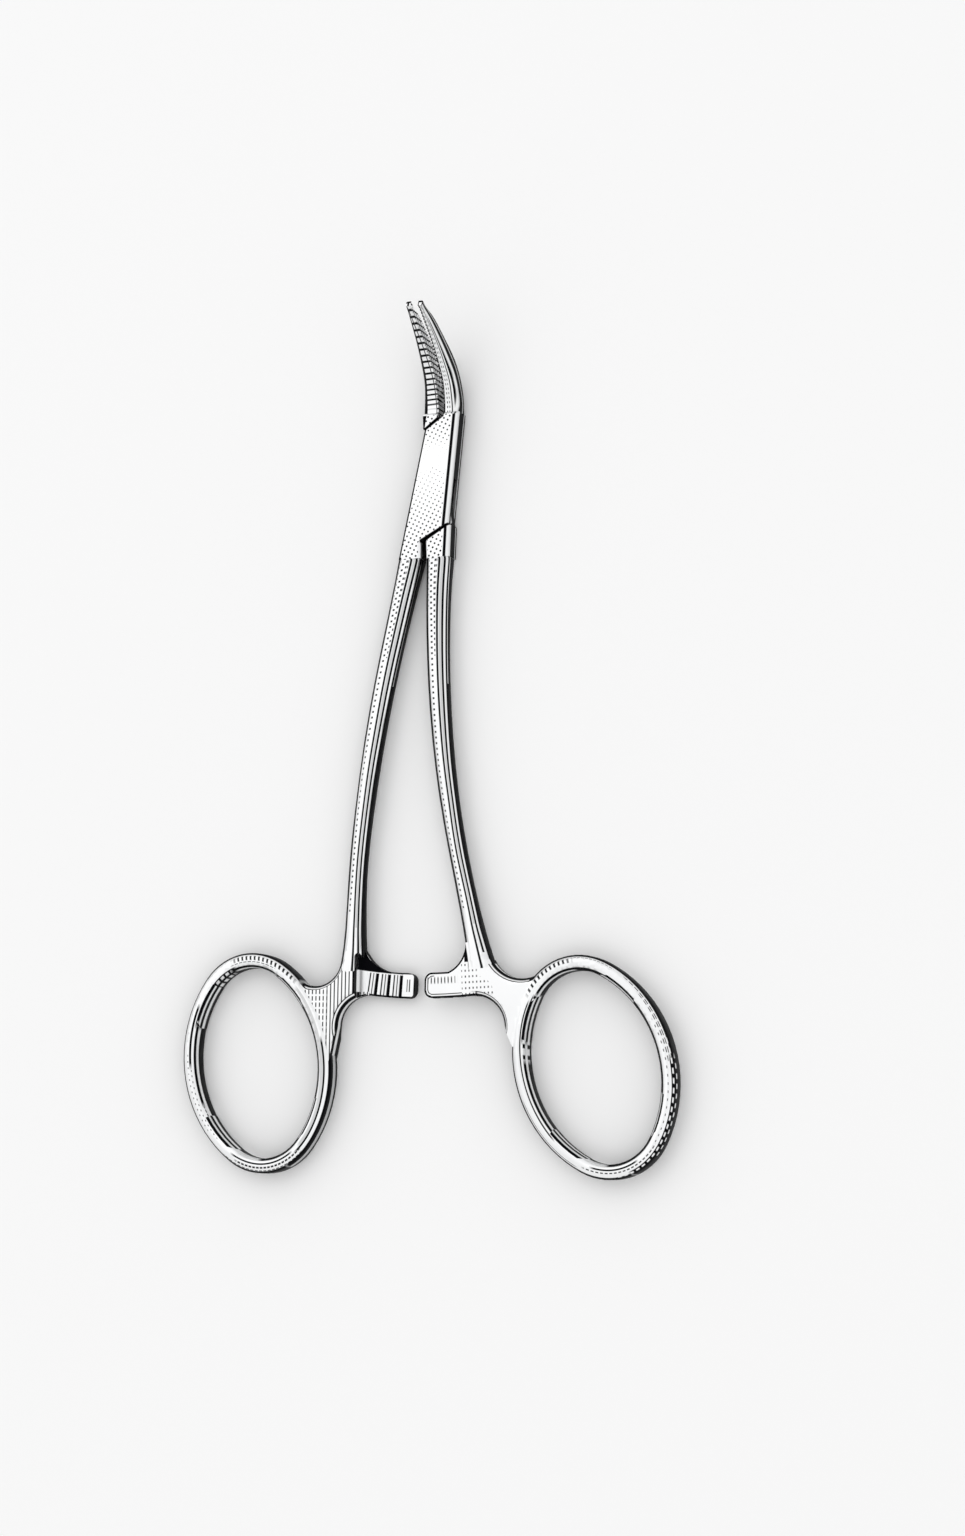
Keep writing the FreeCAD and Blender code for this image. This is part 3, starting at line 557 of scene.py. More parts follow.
@dataclass(frozen=True)
class Shank:
    """A shank: a bevelled bar that follows its stations."""

    middles: list[tuple[float, float]]
    widths: list[tuple[float, float]]
    thicknesses: list[tuple[float, float]]
    crotch: float = -12.0
    foot: float = -70.2
    middle_height: float = 1.75
    bevel: float = 0.75

    def middle(self, y: float) -> float:
        """Follow the middle line, straight from station to station.

        Args:
            y: Place along the shank.

        Returns:
            The middle's place across.
        """
        for (low, first), (high, second) in zip(self.middles, self.middles[1:]):
            if high <= y <= low:
                return share(first, second, (low - y) / (low - high))
        return self.middles[-1][1] if y < self.middles[-1][0] else self.middles[0][1]

    def holds(self, corners: list[Vector], normal: Vector) -> bool:
        """Tell whether a face belongs to the shank."""
        near = all(abs(corner.x - self.middle(corner.y)) < 2.1 for corner in corners)
        return near and all(self.foot < corner.y < self.crotch + 0.05 for corner in corners)

    def draw(self, tree: Tree, spot: Spot) -> Term:
        """Draw the shank's outline, and its painted shade and painted reflections as dashes and long lines.

        Args:
            tree: The material's tree.
            spot: The place on the half.

        Returns:
            The region's painted shade, painted reflections and outline.
        """
        half_width = tree.curve(spot.y, self.widths) * 0.5
        half_depth = tree.curve(spot.y, self.thicknesses) * 0.5
        from_middle = spot.x - tree.curve(spot.y, self.middles)
        from_plane = spot.z - self.middle_height
        upper = from_plane.above(-half_depth + self.bevel, 0.02)
        drop = (half_depth - from_plane) * upper + (half_depth + from_plane) * (1.0 - upper)
        across = (from_middle + from_middle.math("SIGN") * drop) / half_width
        # Left outline; dark lines and bands of painted shade and painted reflection toward the right bevel
        # and wall, with light bands left between; a grey stroke of painted shade; dashed rows of painted
        # shade on the front.
        lines = [
            Stroke(-2.6, -0.92, -90.0, 0.0),
            Stroke(0.10, 0.30, -90.0, -9.0),
            Stroke(0.64, 0.94, -68.0, -9.0),
            Stroke(1.24, 1.50, -90.0, 0.0),
            Stroke(1.62, 3.0, -90.0, 0.0),
            Stroke(0.38, 0.60, -64.0, -9.0, strength=0.28),
            Stroke(1.46, 1.66, -90.0, -30.0),
            Stroke(-0.44, -0.26, -62.0, -9.0, dash=0.8, painted_share=0.34),
            Stroke(-0.12, 0.02, -26.0, -9.0, dash=0.8, painted_share=0.4, phase=0.4),
            Stroke(-0.76, -0.62, -19.0, -9.0, dash=0.8, painted_share=0.3, phase=0.4),
        ]
        return drawn(lines, across, spot.y, Term.between)


@dataclass(frozen=True)
class Lock:
    """The box lock's front, side and seams."""

    left_top: tuple[float, float] = (-1.7, 6.3)
    left_bottom: tuple[float, float] = (-5.3, -12.0)
    right_top: tuple[float, float] = (3.45, 8.9)
    right_bottom: tuple[float, float] = (2.05, -7.3)
    upper_seam: tuple[tuple[float, float], tuple[float, float]] = ((-1.7, 6.3), (1.155, 8.35))
    lower_seam: tuple[tuple[float, float], tuple[float, float]] = ((-1.9, -9.55), (2.05, -7.35))
    jaw_base: float = 8.9
    crotch: float = -12.1
    # Radius of the stipple dots of painted shade along the lock, larger where the lock is drawn darker near
    # the crotch and the jaw.
    shade_dot_sizes: tuple[tuple[float, float], ...] = (
        (-12.0, 0.15),
        (-6.0, 0.12),
        (-1.0, 0.07),
        (2.5, 0.02),
        (5.0, 0.1),
        (8.9, 0.15),
    )

    def holds(self, corners: list[Vector], normal: Vector) -> bool:
        """Tell whether a face belongs to the lock."""
        return all(self.crotch < corner.y < self.jaw_base + 0.02 for corner in corners)

    def from_line(self, spot: Spot, ends: tuple[tuple[float, float], tuple[float, float]]) -> Term:
        """Measure the place from a slanting line.

        Args:
            spot: The place on the half.
            ends: Two places on the line.

        Returns:
            The distance above the line.
        """
        (x0, y0), (x1, y1) = ends
        length = math.hypot(x1 - x0, y1 - y0)
        return (spot.y - y0) * ((x1 - x0) / length) - (spot.x - x0) * ((y1 - y0) / length)

    def draw(self, tree: Tree, spot: Spot) -> Term:
        """Draw the lock's outlines and seams, its side bands of painted shade and painted reflection, and
        its stipple dots of painted shade.

        Args:
            tree: The material's tree.
            spot: The place on the half.

        Returns:
            The region's painted shade, painted reflections, outlines and seams.
        """
        sideways = abs(spot.front).below(0.9, 0.05)
        to_right = spot.right.above(0.1, 0.05) & sideways
        outline = self.from_line(spot, (self.left_bottom, self.left_top)).above(-0.38, 0.06)
        # Dark bands of painted shade and painted reflection on the right side, with a light band of painted
        # reflection left between.
        bands = spot.z.below(2.75, 0.1) & (1.0 - spot.z.between(0.8, 1.0, 0.08))
        upper = abs(self.from_line(spot, self.upper_seam)).below(0.14, 0.08) & spot.x.below(1.3)
        lower = self.from_line(spot, self.lower_seam).between(-0.14, 0.22, 0.08)
        seams = (upper & spot.y.above(5.0)) | (lower & spot.x.above(-2.05, 0.1))
        # Stipple dots of painted shade on the front flat, sized along the lock.
        size = tree.curve(spot.y, self.shade_dot_sizes)
        right_edge = self.from_line(spot, (self.right_bottom, self.right_top))
        inner = right_edge.above(0.95, 0.1)
        strip = right_edge.between(0.36, 0.8, 0.08) & (1.0 - sideways)
        flat = abs(spot.front).above(LEVEL, 0.05)
        dots = spot.dots(DOT_PITCH, DOT_LEAN, size) & flat & inner
        return outline | strip | (bands & to_right) | seams | dots


@dataclass(frozen=True)
class Jaw:
    """A jaw that curves up, drawn along its own curve."""

    side: Side
    face: float
    base: float = 8.9
    lead: float = 1.42
    middle_height: float = 1.75
    bend_radius: float = 7.0
    bend_turn: float = 48.0
    sweep_radius: float = 36.0
    sweep_turn: float = 18.5
    depths: tuple[float, float, float] = (3.1, 2.7, 0.85)
    widths: tuple[float, float, float] = (2.2, 1.75, 0.7)
    root: float = -1.5
    pitch: float = 0.68

    @property
    def bend_length(self) -> float:
        """Length of the bend along the jaw's middle."""
        return self.bend_turn * (math.pi / 180) * self.bend_radius

    @property
    def reach(self) -> float:
        """Length of the jaw's middle from the bend's start to the tip."""
        return self.bend_length + self.sweep_turn * (math.pi / 180) * self.sweep_radius

    def holds(self, corners: list[Vector], normal: Vector) -> bool:
        """Tell whether a face belongs to the jaw."""
        return all(corner.y > self.base - 0.4 for corner in corners)

    def centres(self) -> tuple[tuple[float, float], tuple[float, float]]:
        """Find the centres of the bend and of the sweep.

        Returns:
            Both as places along and up.
        """
        turn = math.radians(self.bend_turn)
        bend = (self.base + self.lead, self.middle_height + self.bend_radius)
        spare = self.sweep_radius - self.bend_radius
        return bend, (bend[0] - spare * math.sin(turn), bend[1] + spare * math.cos(turn))

    def polar(self, spot: Spot, centre: tuple[float, float]) -> tuple[Term, Term]:
        """Measure a place round a centre.

        Args:
            spot: The place on the half.
            centre: The centre, along and up.

        Returns:
            The distance from it and the turn from straight down, in degrees.
        """
        along, up = spot.y - centre[0], spot.z - centre[1]
        distance = (along * along + up * up).math("SQRT")
        return distance, along.math("ARCTAN2", -up) * (180 / math.pi)

    def stations(self, sizes: tuple[float, float, float]) -> list[tuple[float, float]]:
        """Give the three (along, size) places at the jaw's root, at the bend's end and at the tip."""
        return list(zip((self.root, self.bend_length, self.reach), sizes))

    def follow(self, spot: Spot) -> tuple[Term, Term]:
        """Measure a place along the jaw's curve.

        Args:
            spot: The place on the half.

        Returns:
            The distance along the curve and the distance out of it.
        """
        bend_centre, sweep_centre = self.centres()
        near, bend = self.polar(spot, bend_centre)
        far, sweep = self.polar(spot, sweep_centre)
        swept = sweep.above(self.bend_turn, 0.3)
        degree = math.pi / 180
        bend_along = bend * (degree * self.bend_radius)
        sweep_along = (sweep - self.bend_turn) * (degree * self.sweep_radius) + self.bend_length
        along = bend_along * (1.0 - swept) + sweep_along * swept
        outward = (near - self.bend_radius) * (1.0 - swept) + (far - self.sweep_radius) * swept
        return along, outward

    def draw(self, tree: Tree, spot: Spot) -> Term:
        """Draw the jaw's outlines, and its painted shade and painted reflections as bars and long lines.

        Args:
            tree: The material's tree.
            spot: The place on the half.

        Returns:
            The region's painted shade, painted reflections and outlines.
        """
        along, outward = self.follow(spot)
        level = outward / tree.curve(along, self.stations(self.depths))
        body = along.below(self.reach - 0.05, 0.03)
        inward = abs(spot.x - self.face)
        edges = inward.below(0.14, 0.05) | inward.above(0.54, 0.05)
        tip = (1.0 - body) & (level.above(0.12, 0.08) | edges)
        if self.side is Side.RIGHT:
            drawing = self.grip_drawing(spot, along, level)
        else:
            part = (spot.x - self.face) / tree.curve(along, self.stations(self.widths))
            drawing = self.striped_drawing(spot, along, level, part)
        return (drawing & body) | tip

    def grip_drawing(self, spot: Spot, along: Term, level: Term) -> Term:
        """Draw the jaw whose serrated grip is seen, with bars of painted shade for its serrations.

        Args:
            spot: The place on the half.
            along: Distance along the jaw's curve.
            level: Place from the underside to the top, as a share of the depth.

        Returns:
            The painted shade and outlines between root and tip.
        """
        # Bars of painted shade standing for the serrations' grooves.
        bars = spot.y.rows(self.pitch, self.pitch * 0.36, 0.06)
        front_bars = bars & along.above(-0.6, 1.2)
        near_face = (spot.x - self.face).above(-0.17, 0.03)
        rim = level.above(0.40, 0.05)
        front_edge = (spot.x - self.face).between(-0.30, -0.16, 0.05)
        back = (1.0 - near_face) & (front_bars | front_edge)
        grip = near_face & (bars | rim)
        # Faces turned to the left are painted wholly dark as shade.
        return grip | back | spot.right.below(-0.25, 0.1)

    def striped_drawing(self, spot: Spot, along: Term, level: Term, part: Term) -> Term:
        """Draw the jaw whose smooth outer side is seen, with bands of painted reflection and painted shade.

        Args:
            spot: The place on the half.
            along: Distance along the jaw's curve.
            level: Place from the underside to the top, as a share of the depth.
            part: Place from the grip to the outer side, as a share of the width.

        Returns:
            The painted shade, painted reflections and outlines between root and tip.
        """
        facing_right = spot.right.above(0.25, 0.1)
        facing_left = spot.right.below(-0.25, 0.1)
        # Dark bands of painted reflection and painted shade on the right side, with two light bands left
        # between.
        stripes = 1.0 - level.between(-0.40, -0.28, 0.05) - level.between(0.06, 0.12, 0.05)
        face_edge = (spot.x - self.face).below(0.2, 0.06)
        dashes = along.rows(0.8, 0.36, 0.06)
        fine = (part.between(0.22, 0.28, 0.03) | part.between(0.38, 0.43, 0.03)) & dashes
        bold = part.between(0.54, 0.62, 0.03) | part.between(0.76, 0.88, 0.03)
        # Bars of painted shade on the faces turned to the left.
        bars = spot.y.rows(self.pitch, self.pitch * 0.42, 0.06)
        front = (1.0 - facing_right) & (1.0 - facing_left) & (face_edge | fine | bold)
        return (facing_right & stripes) | front | (facing_left & bars)


@dataclass(frozen=True)
class Arm:
    """A ratchet arm: a sector round the pin."""

    side: Side
    end: float
    root: float
    top: float
    inner: float = 70.4
    depth: float = 3.5
    first_wall: float = 1.85
    pitch: float = 1.83
    crest: float = 0.35
    teeth: int = 3

    def holds(self, corners: list[Vector], normal: Vector) -> bool:
        """Tell whether a face belongs to the arm.

        Args:
            corners: The face's corners in the closed half's frame.
            normal: The face's normal; not used here.

        Returns:
            Whether it does.
        """
        places = [math.hypot(corner.x, corner.y) for corner in corners]
        reach = all(self.inner - 1.6 < place < self.inner + self.depth + 0.05 for place in places)
        beside = all(corner.x * self.side.value < self.root for corner in corners)
        return reach and beside and all(corner.z < self.top + 0.02 for corner in corners)

    def draw(self, tree: Tree, spot: Spot) -> Term:
        """Draw the arm's outline, the painted shade in its teeth's grooves and on its walls, and its
        hatching of painted shade.

        Args:
            tree: The material's tree; not used here.
            spot: The place on the half.

        Returns:
            The region's painted shade and outlines.
        """
        radius = (spot.x * spot.x + spot.y * spot.y).math("SQRT")
        mean = self.inner + self.depth / 2
        turn = (spot.x * self.side.value).math("ARCTAN2", -spot.y)
        from_end = turn * mean - math.radians(self.end) * mean
        below = radius - self.inner
        # Upright walls are painted wholly dark as shade.
        walls = abs(spot.front).below(0.4, 0.1)
        if self.side is Side.RIGHT:
            front = abs(spot.front).above(0.9, 0.05)
            rim = spot.rim.below(0.24, 0.06)
            second = spot.rim.between(0.42, 0.55, 0.06) & (below.above(2.6, 0.1) | from_end.below(1.4, 0.2))
            # Hatching of painted shade on the front near the free end.
            bars = from_end.rows(0.5, 0.16, 0.06) & below.between(0.7, 1.5, 0.3) & from_end.below(4.5, 1.0)
            return walls | (front & (rim | second | bars))
        steps = from_end - self.first_wall
        place = steps.math("WRAP", self.pitch, 0.0)
        teeth = steps.above(0.0) & steps.below(self.pitch * self.teeth)
        groove = place.below(self.pitch - self.crest, 0.05)
        # Painted shade in the teeth's grooves.
        dark = place.below(0.62, 0.08) | place.between(1.25, 1.42, 0.05) | place.between(0.86, 0.98, 0.05)
        lip = below.above(0.35, 0.08)
        # Short strokes of painted shade on the end face.
        stubs = from_end.between(0.72, 0.88, 0.06) | from_end.between(1.1, 1.22, 0.06)
        end_face = stubs & below.between(0.9, 2.6, 0.1)
        edge = below.below(0.2, 0.08) | below.above(self.depth - 0.24, 0.08) | from_end.below(0.22, 0.08)
        return walls | edge | (teeth & groove & dark & lip) | end_face


@dataclass(frozen=True)
class Web:
    """The web between shank, ring and ratchet arm."""

    side: Side
    pitch: float = 0.55

    def holds(self, corners: list[Vector], normal: Vector) -> bool:
        """Take every face that no other region holds."""
        return True

    def draw(self, tree: Tree, spot: Spot) -> Term:
        """Draw the web's upright dashes of painted shade, the lines of painted shade in its hollows, its
        outline, and its walls painted dark as shade with a band of painted reflection.

        Args:
            tree: The material's tree; not used here.
            spot: The place on the half.

        Returns:
            The region's painted shade, painted reflection and outline.
        """
        flat = abs(spot.front).above(LEVEL, 0.04)
        hollow = abs(spot.front).between(0.5, 0.9, 0.05)
        wall = abs(spot.front).below(UPRIGHT, 0.05)
        drop = 1.45 - abs(spot.z - 1.75)
        # Lines of painted shade in the hollows.
        lines = drop.below(0.12, 0.06) | drop.between(0.3, 0.7, 0.08)
        right_wall = wall & spot.right.above(0.2, 0.1)
        # A light band of painted reflection on the right walls; the rest of the walls is painted dark as
        # shade.
        light = spot.z.between(1.5, 2.3, 0.1) & right_wall
        # Upright dashes of painted shade on the flats.
        rows = spot.x.rows(self.pitch, 0.17, 0.06)
        if self.side is Side.LEFT:
            dashes = spot.y.rows(0.9, 0.62, 0.1) | spot.x.above(-15.0, 1.0)
            rows = rows & dashes
        else:
            rows = rows & spot.y.rows(0.8, 0.26, 0.08) & spot.rim.below(2.6, 0.2)
        return (flat & (rows | spot.rim.below(0.24, 0.06))) | (hollow & lines) | (wall & (1.0 - light))


@dataclass
class Half:
    """One forging of the forceps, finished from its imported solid."""

    node: str
    name: str
    body: str
    turned: float
    regions: list[Region]
    shaded_steel: SteelWithPaintedShade = field(default_factory=SteelWithPaintedShade)
    crease_angle: float = 50.0
    web_start: float = -66.0
    web_end: float = -80.0
    cell: float = 0.5
    small_step: float = 0.3

    def store_rims(self, mesh: bmesh.types.BMesh, closed: Matrix) -> None:
        """Cut the web's flats into small cells and store each corner's distance from their bare edges.

        Args:
            mesh: The copied solid.
            closed: Turns a place into the closed half's frame in millimetres.
        """
        flats = [face for face in mesh.faces if self.is_web_flat(face, closed)]
        bare = set()
        for face in flats:
            for edge in face.edges:
                if any(self.is_wall(other) for other in edge.link_faces):
                    bare.add(tuple((closed @ vertex.co).freeze() for vertex in edge.verts))
        corners = [closed @ vertex.co for face in flats for vertex in face.verts]
        open_turn = closed.inverted()
        for axis in (0, 1):
            low, high = min(corner[axis] for corner in corners), max(corner[axis] for corner in corners)
            for step in range(1, int((high - low) / self.cell)):
                place, normal = Vector(), Vector()
                place[axis], normal[axis] = low + step * self.cell, 1.0
                parts = set(flats)
                parts.update(edge for face in flats for edge in face.edges)
                parts.update(vertex for face in flats for vertex in face.verts)
                cut = bmesh.ops.bisect_plane(
                    mesh,
                    geom=list(parts),
                    dist=MERGE_DISTANCE,
                    plane_co=open_turn @ place,
                    plane_no=(open_turn @ normal).normalized(),
                )
                flats = [part for part in cut["geom"] if isinstance(part, bmesh.types.BMFace)]
        rim = mesh.verts.layers.float.new(RIM_DISTANCE)
        for vertex in mesh.verts:
            vertex[rim] = FAR_FROM_RIM
        for vertex in {vertex for face in flats for vertex in face.verts}:
            place = closed @ vertex.co
            vertex[rim] = min(self.from_edge(place, *ends) for ends in bare)

    def is_web_flat(self, face: bmesh.types.BMFace, closed: Matrix) -> bool:
        """Tell whether a face is level and lies in the web's stretch."""
        place = closed @ face.calc_center_median()
        return abs(face.normal.z) > LEVEL and self.web_end < place.y < self.web_start

    def is_wall(self, face: bmesh.types.BMFace) -> bool:
        """Tell whether a face is an upright wall that is more than a small step high."""
        heights = [vertex.co.z for vertex in face.verts]
        return abs(face.normal.z) < UPRIGHT and max(heights) - min(heights) > self.small_step * MM

    def from_edge(self, place: Vector, start: Vector, end: Vector) -> float:
        """Measure a place from an edge.

        Args:
            place: The place.
            start: One end of the edge.
            end: Its other end.

        Returns:
            The distance.
        """
        along = end - start
        part = min(max((place - start).dot(along) / max(along.length_squared, 1e-12), 0.0), 1.0)
        return (place - start - along * part).length

    def build(self) -> bpy.types.Object:
        """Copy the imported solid, merge its loose triangles, and draw on each region.

        Returns:
            The piece, at the origin, riding on its body.
        """
        mesh = bmesh.new()
        mesh.from_mesh(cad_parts[self.node].data)
        bmesh.ops.remove_doubles(mesh, verts=mesh.verts, dist=MERGE_DISTANCE)
        closed = Matrix.Rotation(math.radians(-self.turned), 3, "Z") * (1 / MM)
        self.store_rims(mesh, closed)
        direction = mesh.faces.layers.float_vector.new(FACE_NORMAL)
        for face in mesh.faces:
            corners = [closed @ vertex.co for vertex in face.verts]
            face.smooth = True
            face[direction] = face.normal
            face.material_index = next(
                index for index, region in enumerate(self.regions) if region.holds(corners, face.normal)
            )
        crease = math.radians(self.crease_angle)
        for edge in mesh.edges:
            edge.smooth = len(edge.link_faces) == 2 and edge.calc_face_angle() < crease
        data = bpy.data.meshes.new(self.name)
        mesh.to_mesh(data)
        mesh.free()
        for region in self.regions:
            name = f"{self.name}_{type(region).__name__.lower()}"
            data.materials.append(self.shaded_steel.material(name, self.turned, region.draw))
        piece = bpy.data.objects.new(self.name, data)
        bpy.context.scene.collection.objects.link(piece)
        weighted = piece.modifiers.new("Weighted", "WEIGHTED_NORMAL")
        weighted.keep_sharp = True
        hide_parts(self.node)
        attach(piece, self.body)
        log.info("%s: %d faces on body %s", self.name, len(data.polygons), self.body)
        return piece


@dataclass
class Pin:
    """The flush rivet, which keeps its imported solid."""

    node: str = "lock_pin"
    shaded_steel: SteelWithPaintedShade = field(default_factory=SteelWithPaintedShade)
    # Radius of the stipple dots of painted shade on the pin's end.
    dot_size: float = 0.07

    def build(self) -> None:
        """Give the pin the same polished steel with its painted shade."""
        made = self.shaded_steel.material("lock_pin_steel", 0.0, self.draw)
        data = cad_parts[self.node].data
        data.materials.clear()
        data.materials.append(made)
        log.info("%s: finished", self.node)

    def draw(self, tree: Tree, spot: Spot) -> Term:
        """Carry the lock's stipple dots of painted shade across the pin's end."""
        return spot.dots(DOT_PITCH, DOT_LEAN, self.dot_size)


@dataclass(frozen=True)
class Lamp:
    """One square soft lamp."""

    name: str
    place: tuple[float, float, float]
    size: float
    power: float


@dataclass
class Studio:
    """Pale floor, soft light and the camera."""

    tilt_right: float = 20.0
    tilt_down: float = 8.0
    roll: float = 0.8
    distance: float = 0.420
    half_height: float = 0.10667
    aim: tuple[float, float, float] = (0.007244, -0.041947, 0.00175)
    floor_drop: float = 0.00005
    floor_size: float = 3.0
    floor_colour: tuple[float, float, float, float] = (0.93, 0.93, 0.93, 1.0)
    room_light: float = 0.92
    white: tuple[float, float, float, float] = (1.0, 1.0, 1.0, 1.0)
    sensor_width: float = 36.0
    lamps: tuple[Lamp, ...] = (
        Lamp("key", (-0.55, 0.5, 0.8), 1.2, 1.5),
        Lamp("fill", (0.7, -0.4, 0.8), 1.2, 0.6),
    )

    def camera(self) -> None:
        """Place the camera as the drawing was seen."""
        across, down = math.radians(self.tilt_right), math.radians(self.tilt_down)
        sideways, forward = math.sin(across) * math.cos(down), math.cos(across) * math.cos(down)
        back = Vector((sideways, -math.sin(down), forward))
        right = Vector((math.cos(across), 0.0, -math.sin(across)))
        up = back.cross(right)
        cosine, sine = math.cos(math.radians(self.roll)), math.sin(math.radians(self.roll))
        right, up = right * cosine + up * sine, up * cosine - right * sine
        data = bpy.data.cameras.new("drawing_view")
        data.sensor_width = self.sensor_width
        data.lens = data.sensor_width / 2 * self.distance / self.half_height
        data.clip_start = 0.01
        data.clip_end = 20.0
        made = bpy.data.objects.new("drawing_view", data)
        place = Matrix((right, up, back)).transposed().to_4x4()
        place.translation = Vector(self.aim) + back * self.distance
        made.matrix_world = place
        bpy.context.scene.collection.objects.link(made)
        bpy.context.scene.camera = made

    def floor(self) -> None:
        """Lay the pale floor just under the forceps."""
        mesh = bmesh.new()
        bmesh.ops.create_grid(mesh, x_segments=1, y_segments=1, size=self.floor_size)
        bmesh.ops.translate(mesh, verts=mesh.verts, vec=(0.0, 0.0, -self.floor_drop))
        data = bpy.data.meshes.new("floor")
        mesh.to_mesh(data)
        mesh.free()
        made = bpy.data.objects.new("floor", data)
        bpy.context.scene.collection.objects.link(made)
        material = bpy.data.materials.new("paper_white")
        tree = Tree(material)
        inputs = {"Base Color": self.floor_colour, "Roughness": 0.9, "Specular IOR Level": 0.1}
        shader = tree.node("ShaderNodeBsdfPrincipled", {}, inputs)
        tree.node("ShaderNodeOutputMaterial", {}, {0: shader.outputs[0]})
        data.materials.append(material)

    def hang(self, lamp: Lamp) -> None:
        """Hang one lamp that points at the forceps.

        Args:
            lamp: The lamp.
        """
        data = bpy.data.lights.new(lamp.name, "AREA")
        data.size = lamp.size
        data.energy = lamp.power
        made = bpy.data.objects.new(lamp.name, data)
        made.location = lamp.place
        aim = Vector(self.aim) - Vector(lamp.place)
        made.rotation_euler = aim.to_track_quat("-Z", "Y").to_euler()
        bpy.context.scene.collection.objects.link(made)

    def world(self) -> None:
        """Light the room evenly and show it white to the camera and to reflections."""
        made = bpy.data.worlds.new("studio")
        bpy.context.scene.world = made
        tree = Tree(made)
        path = tree.node("ShaderNodeLightPath", {}, {})
        seen = Term(tree, path.outputs["Is Camera Ray"]) | Term(tree, path.outputs["Is Glossy Ray"])
        seen = seen | Term(tree, path.outputs["Is Transmission Ray"])
        light = tree.node("ShaderNodeBackground", {}, {0: self.white, 1: self.room_light})
        white = tree.node("ShaderNodeBackground", {}, {0: self.white, 1: 1.0})
        mixed = tree.node("ShaderNodeMixShader", {}, {0: seen, 1: light.outputs[0], 2: white.outputs[0]})
        tree.node("ShaderNodeOutputWorld", {}, {0: mixed.outputs[0]})

    def build(self) -> None:
        """Set the stage."""
        self.camera()
        self.floor()
        self.world()
        for lamp in self.lamps:
            self.hang(lamp)
        bpy.context.scene.view_settings.view_transform = "Standard"


def left_ring() -> Ring:
    """Give the left finger ring with its strokes of painted shade, painted reflection and outline, and its
    painted highlights.
    """
    # Dark strokes of painted shade and painted reflection round the band, and its outlines.
    strokes = [
        Stroke(1.10, 3.9, 40.0, 285.0),
        Stroke(-3.9, -2.20, 60.0, 262.0),
        Stroke(-1.50, -0.95, 60.0, 200.0),
        Stroke(-0.45, -0.10, 140.0, 176.0),
        Stroke(-3.9, -0.62, 98.0, 152.0),
        Stroke(-1.35, -1.15, 200.0, 230.0, dash=3.0, painted_share=0.7),
        Stroke(-3.9, -0.95, 262.0, 420.0),
        Stroke(-0.36, -0.12, 238.0, 292.0),
        Stroke(0.16, 0.40, 242.0, 300.0, dash=3.2, painted_share=0.7),
        Stroke(0.86, 1.06, 232.0, 300.0, dash=3.6, painted_share=0.7),
        Stroke(0.0, 0.29, 296.0, 366.0),
        Stroke(-0.42, 0.0, 300.0, 400.0, strength=0.3),
        Stroke(0.98, 2.30, 284.0, 400.0),
        Stroke(2.30, 3.15, 284.0, 400.0, strength=0.35),
        Stroke(3.15, 3.9, 270.0, 400.0),
        Stroke(0.03, 0.15, 170.0, 214.0, dash=3.4, painted_share=0.24),
        Stroke(-0.42, -0.3, 176.0, 222.0, dash=3.4, painted_share=0.3, phase=1.7),
        Stroke(-0.28, -0.18, 62.0, 100.0, dash=4.0, painted_share=0.7),
    ]
    # Painted highlights: light dashes cut out of the dark strokes.
    lights = [
        Stroke(-1.50, -0.90, 103.0, 150.0, dash=5.1, painted_share=0.6),
        Stroke(-3.20, -2.20, 103.0, 150.0, dash=5.1, painted_share=0.6),
    ]
    return Ring((-25.47, -82.7), 9.2, strokes, lights, (44.0, 98.0, 3.6))


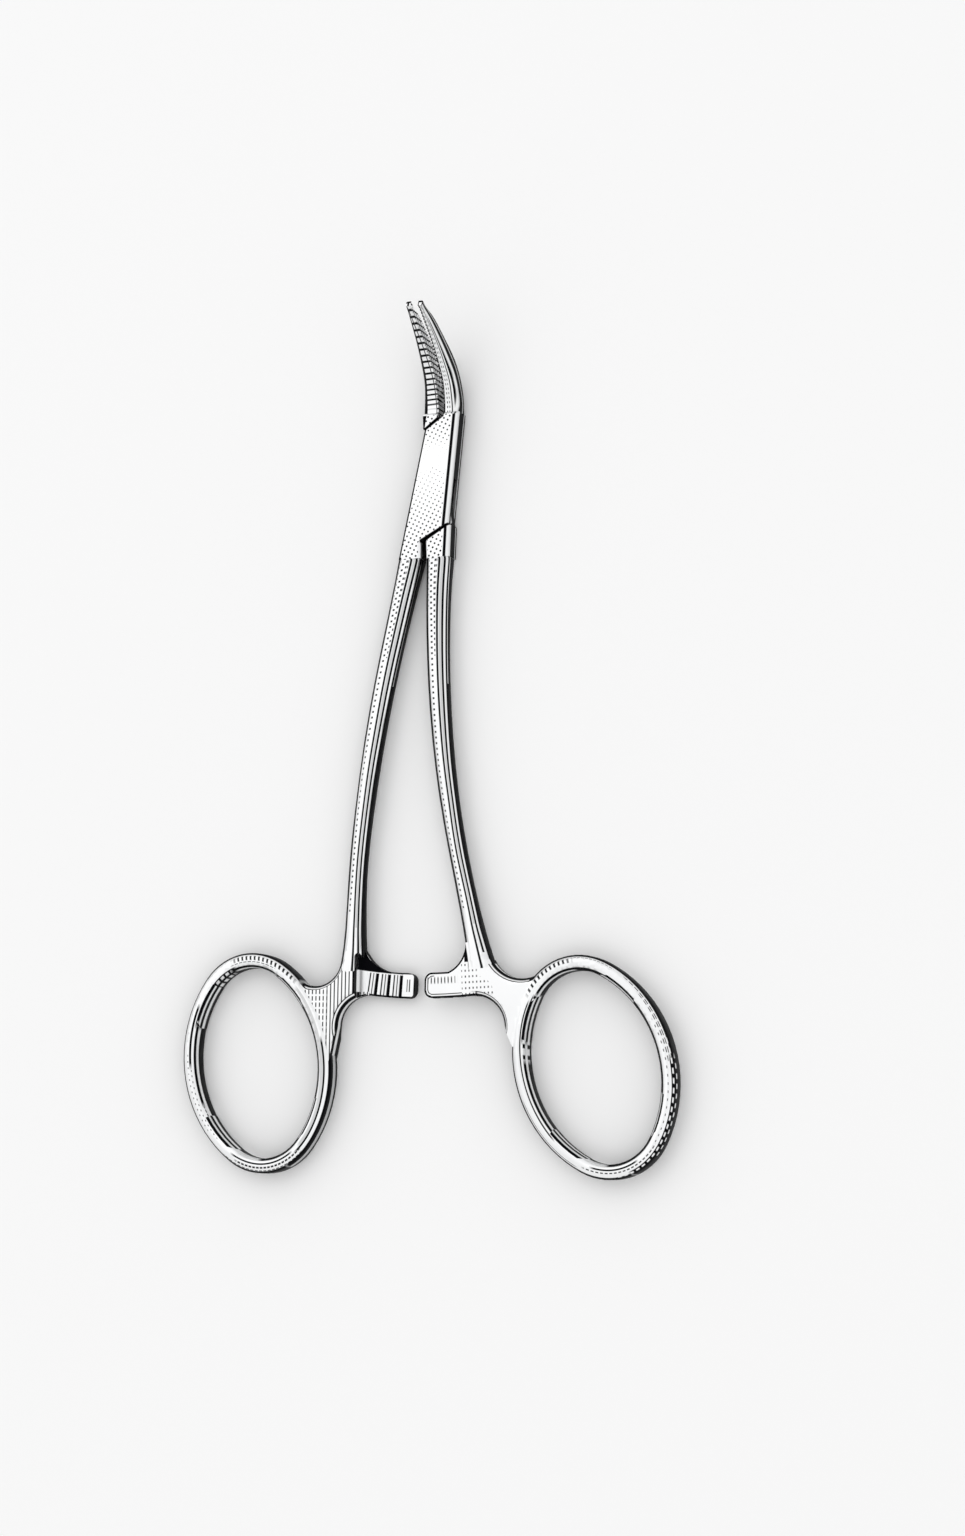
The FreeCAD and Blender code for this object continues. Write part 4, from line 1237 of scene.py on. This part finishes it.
def right_ring() -> Ring:
    """Give the right finger ring with its strokes of painted shade, painted reflection and outline, and its
    painted highlights.
    """
    # Dark strokes of painted shade and painted reflection round the band, and its outlines.
    strokes = [
        Stroke(1.10, 3.9, 30.0, 275.0),
        Stroke(-3.9, -2.20, 60.0, 262.0),
        Stroke(-1.50, -0.95, 70.0, 215.0),
        Stroke(-0.50, -0.30, 128.0, 212.0),
        Stroke(-3.9, -0.62, 122.0, 153.0),
        Stroke(0.62, 0.78, 186.0, 232.0),
        Stroke(-1.35, -1.15, 205.0, 232.0, dash=3.0, painted_share=0.7),
        Stroke(-3.9, -0.95, 256.0, 440.0),
        Stroke(-0.36, -0.12, 244.0, 282.0),
        Stroke(0.10, 0.26, 238.0, 300.0, dash=3.6, painted_share=0.6),
        Stroke(0.6, 3.9, 274.0, 352.0),
        Stroke(1.10, 3.9, 346.0, 420.0),
        Stroke(0.66, 0.84, 352.0, 400.0, dash=4.4, painted_share=0.7),
        Stroke(0.30, 0.44, 350.0, 388.0, dash=4.4, painted_share=0.6),
        Stroke(-0.05, 0.07, 300.0, 372.0, dash=4.4, painted_share=0.3),
        Stroke(0.72, 0.84, 50.0, 82.0, dash=3.0, painted_share=0.7),
    ]
    # Painted highlights: light dashes cut out of the dark strokes.
    lights = [
        Stroke(-1.50, -0.90, 120.0, 164.0, dash=6.6, painted_share=0.6),
        Stroke(-3.20, -2.20, 120.0, 164.0, dash=6.6, painted_share=0.6),
        Stroke(0.88, 1.22, 262.0, 362.0, dash=5.0, painted_share=0.55),
        Stroke(1.7, 2.2, 296.0, 352.0, dash=5.0, painted_share=0.5, phase=2.5),
    ]
    return Ring((20.0, -84.4), 15.7, strokes, lights, (82.0, 124.0, 3.8))


def halves() -> list[Half]:
    """Give both halves with their regions, the shanks' sizes from station to station."""
    stations = (-12.0, -20.0, -34.0, -48.0, -60.0, -66.5, -70.0)
    widths = list(zip(stations, (3.4, 3.15, 2.85, 2.5, 2.5, 2.95, 3.7)))
    thick = [(-12.0, 3.5), (-20.0, 2.8), (-34.0, 2.6), (-60.0, 2.6), (-66.5, 3.0), (-70.0, 3.0)]
    left = list(zip(stations, (-3.6, -5.5, -8.35, -10.35, -11.2, -11.3, -11.5)))
    right = list(zip(stations, (0.0, -0.65, -0.72, 0.4, 2.35, 3.6, 4.3)))
    female = [
        Jaw(Side.LEFT, 1.155),
        Lock(),
        left_ring(),
        Arm(Side.LEFT, 1.82, 10.9, 1.7),
        Shank(left, widths, thick),
        Web(Side.LEFT),
    ]
    male = [
        Jaw(Side.RIGHT, 0.765),
        Lock(),
        right_ring(),
        Arm(Side.RIGHT, -3.05, 1.9, 3.15),
        Shank(right, widths, thick),
        Web(Side.RIGHT),
    ]
    return [
        Half("female_half", "female_forging", "female", 0.0, female),
        Half("male_half", "male_forging", "male", 2.8, male),
    ]


def main() -> None:
    """Build the forceps and the studio."""
    logging.basicConfig(level=logging.INFO, format="%(name)s %(message)s")
    for half in halves():
        half.build()
    Pin().build()
    Studio().build()


if __name__ == "__main__":
    main()
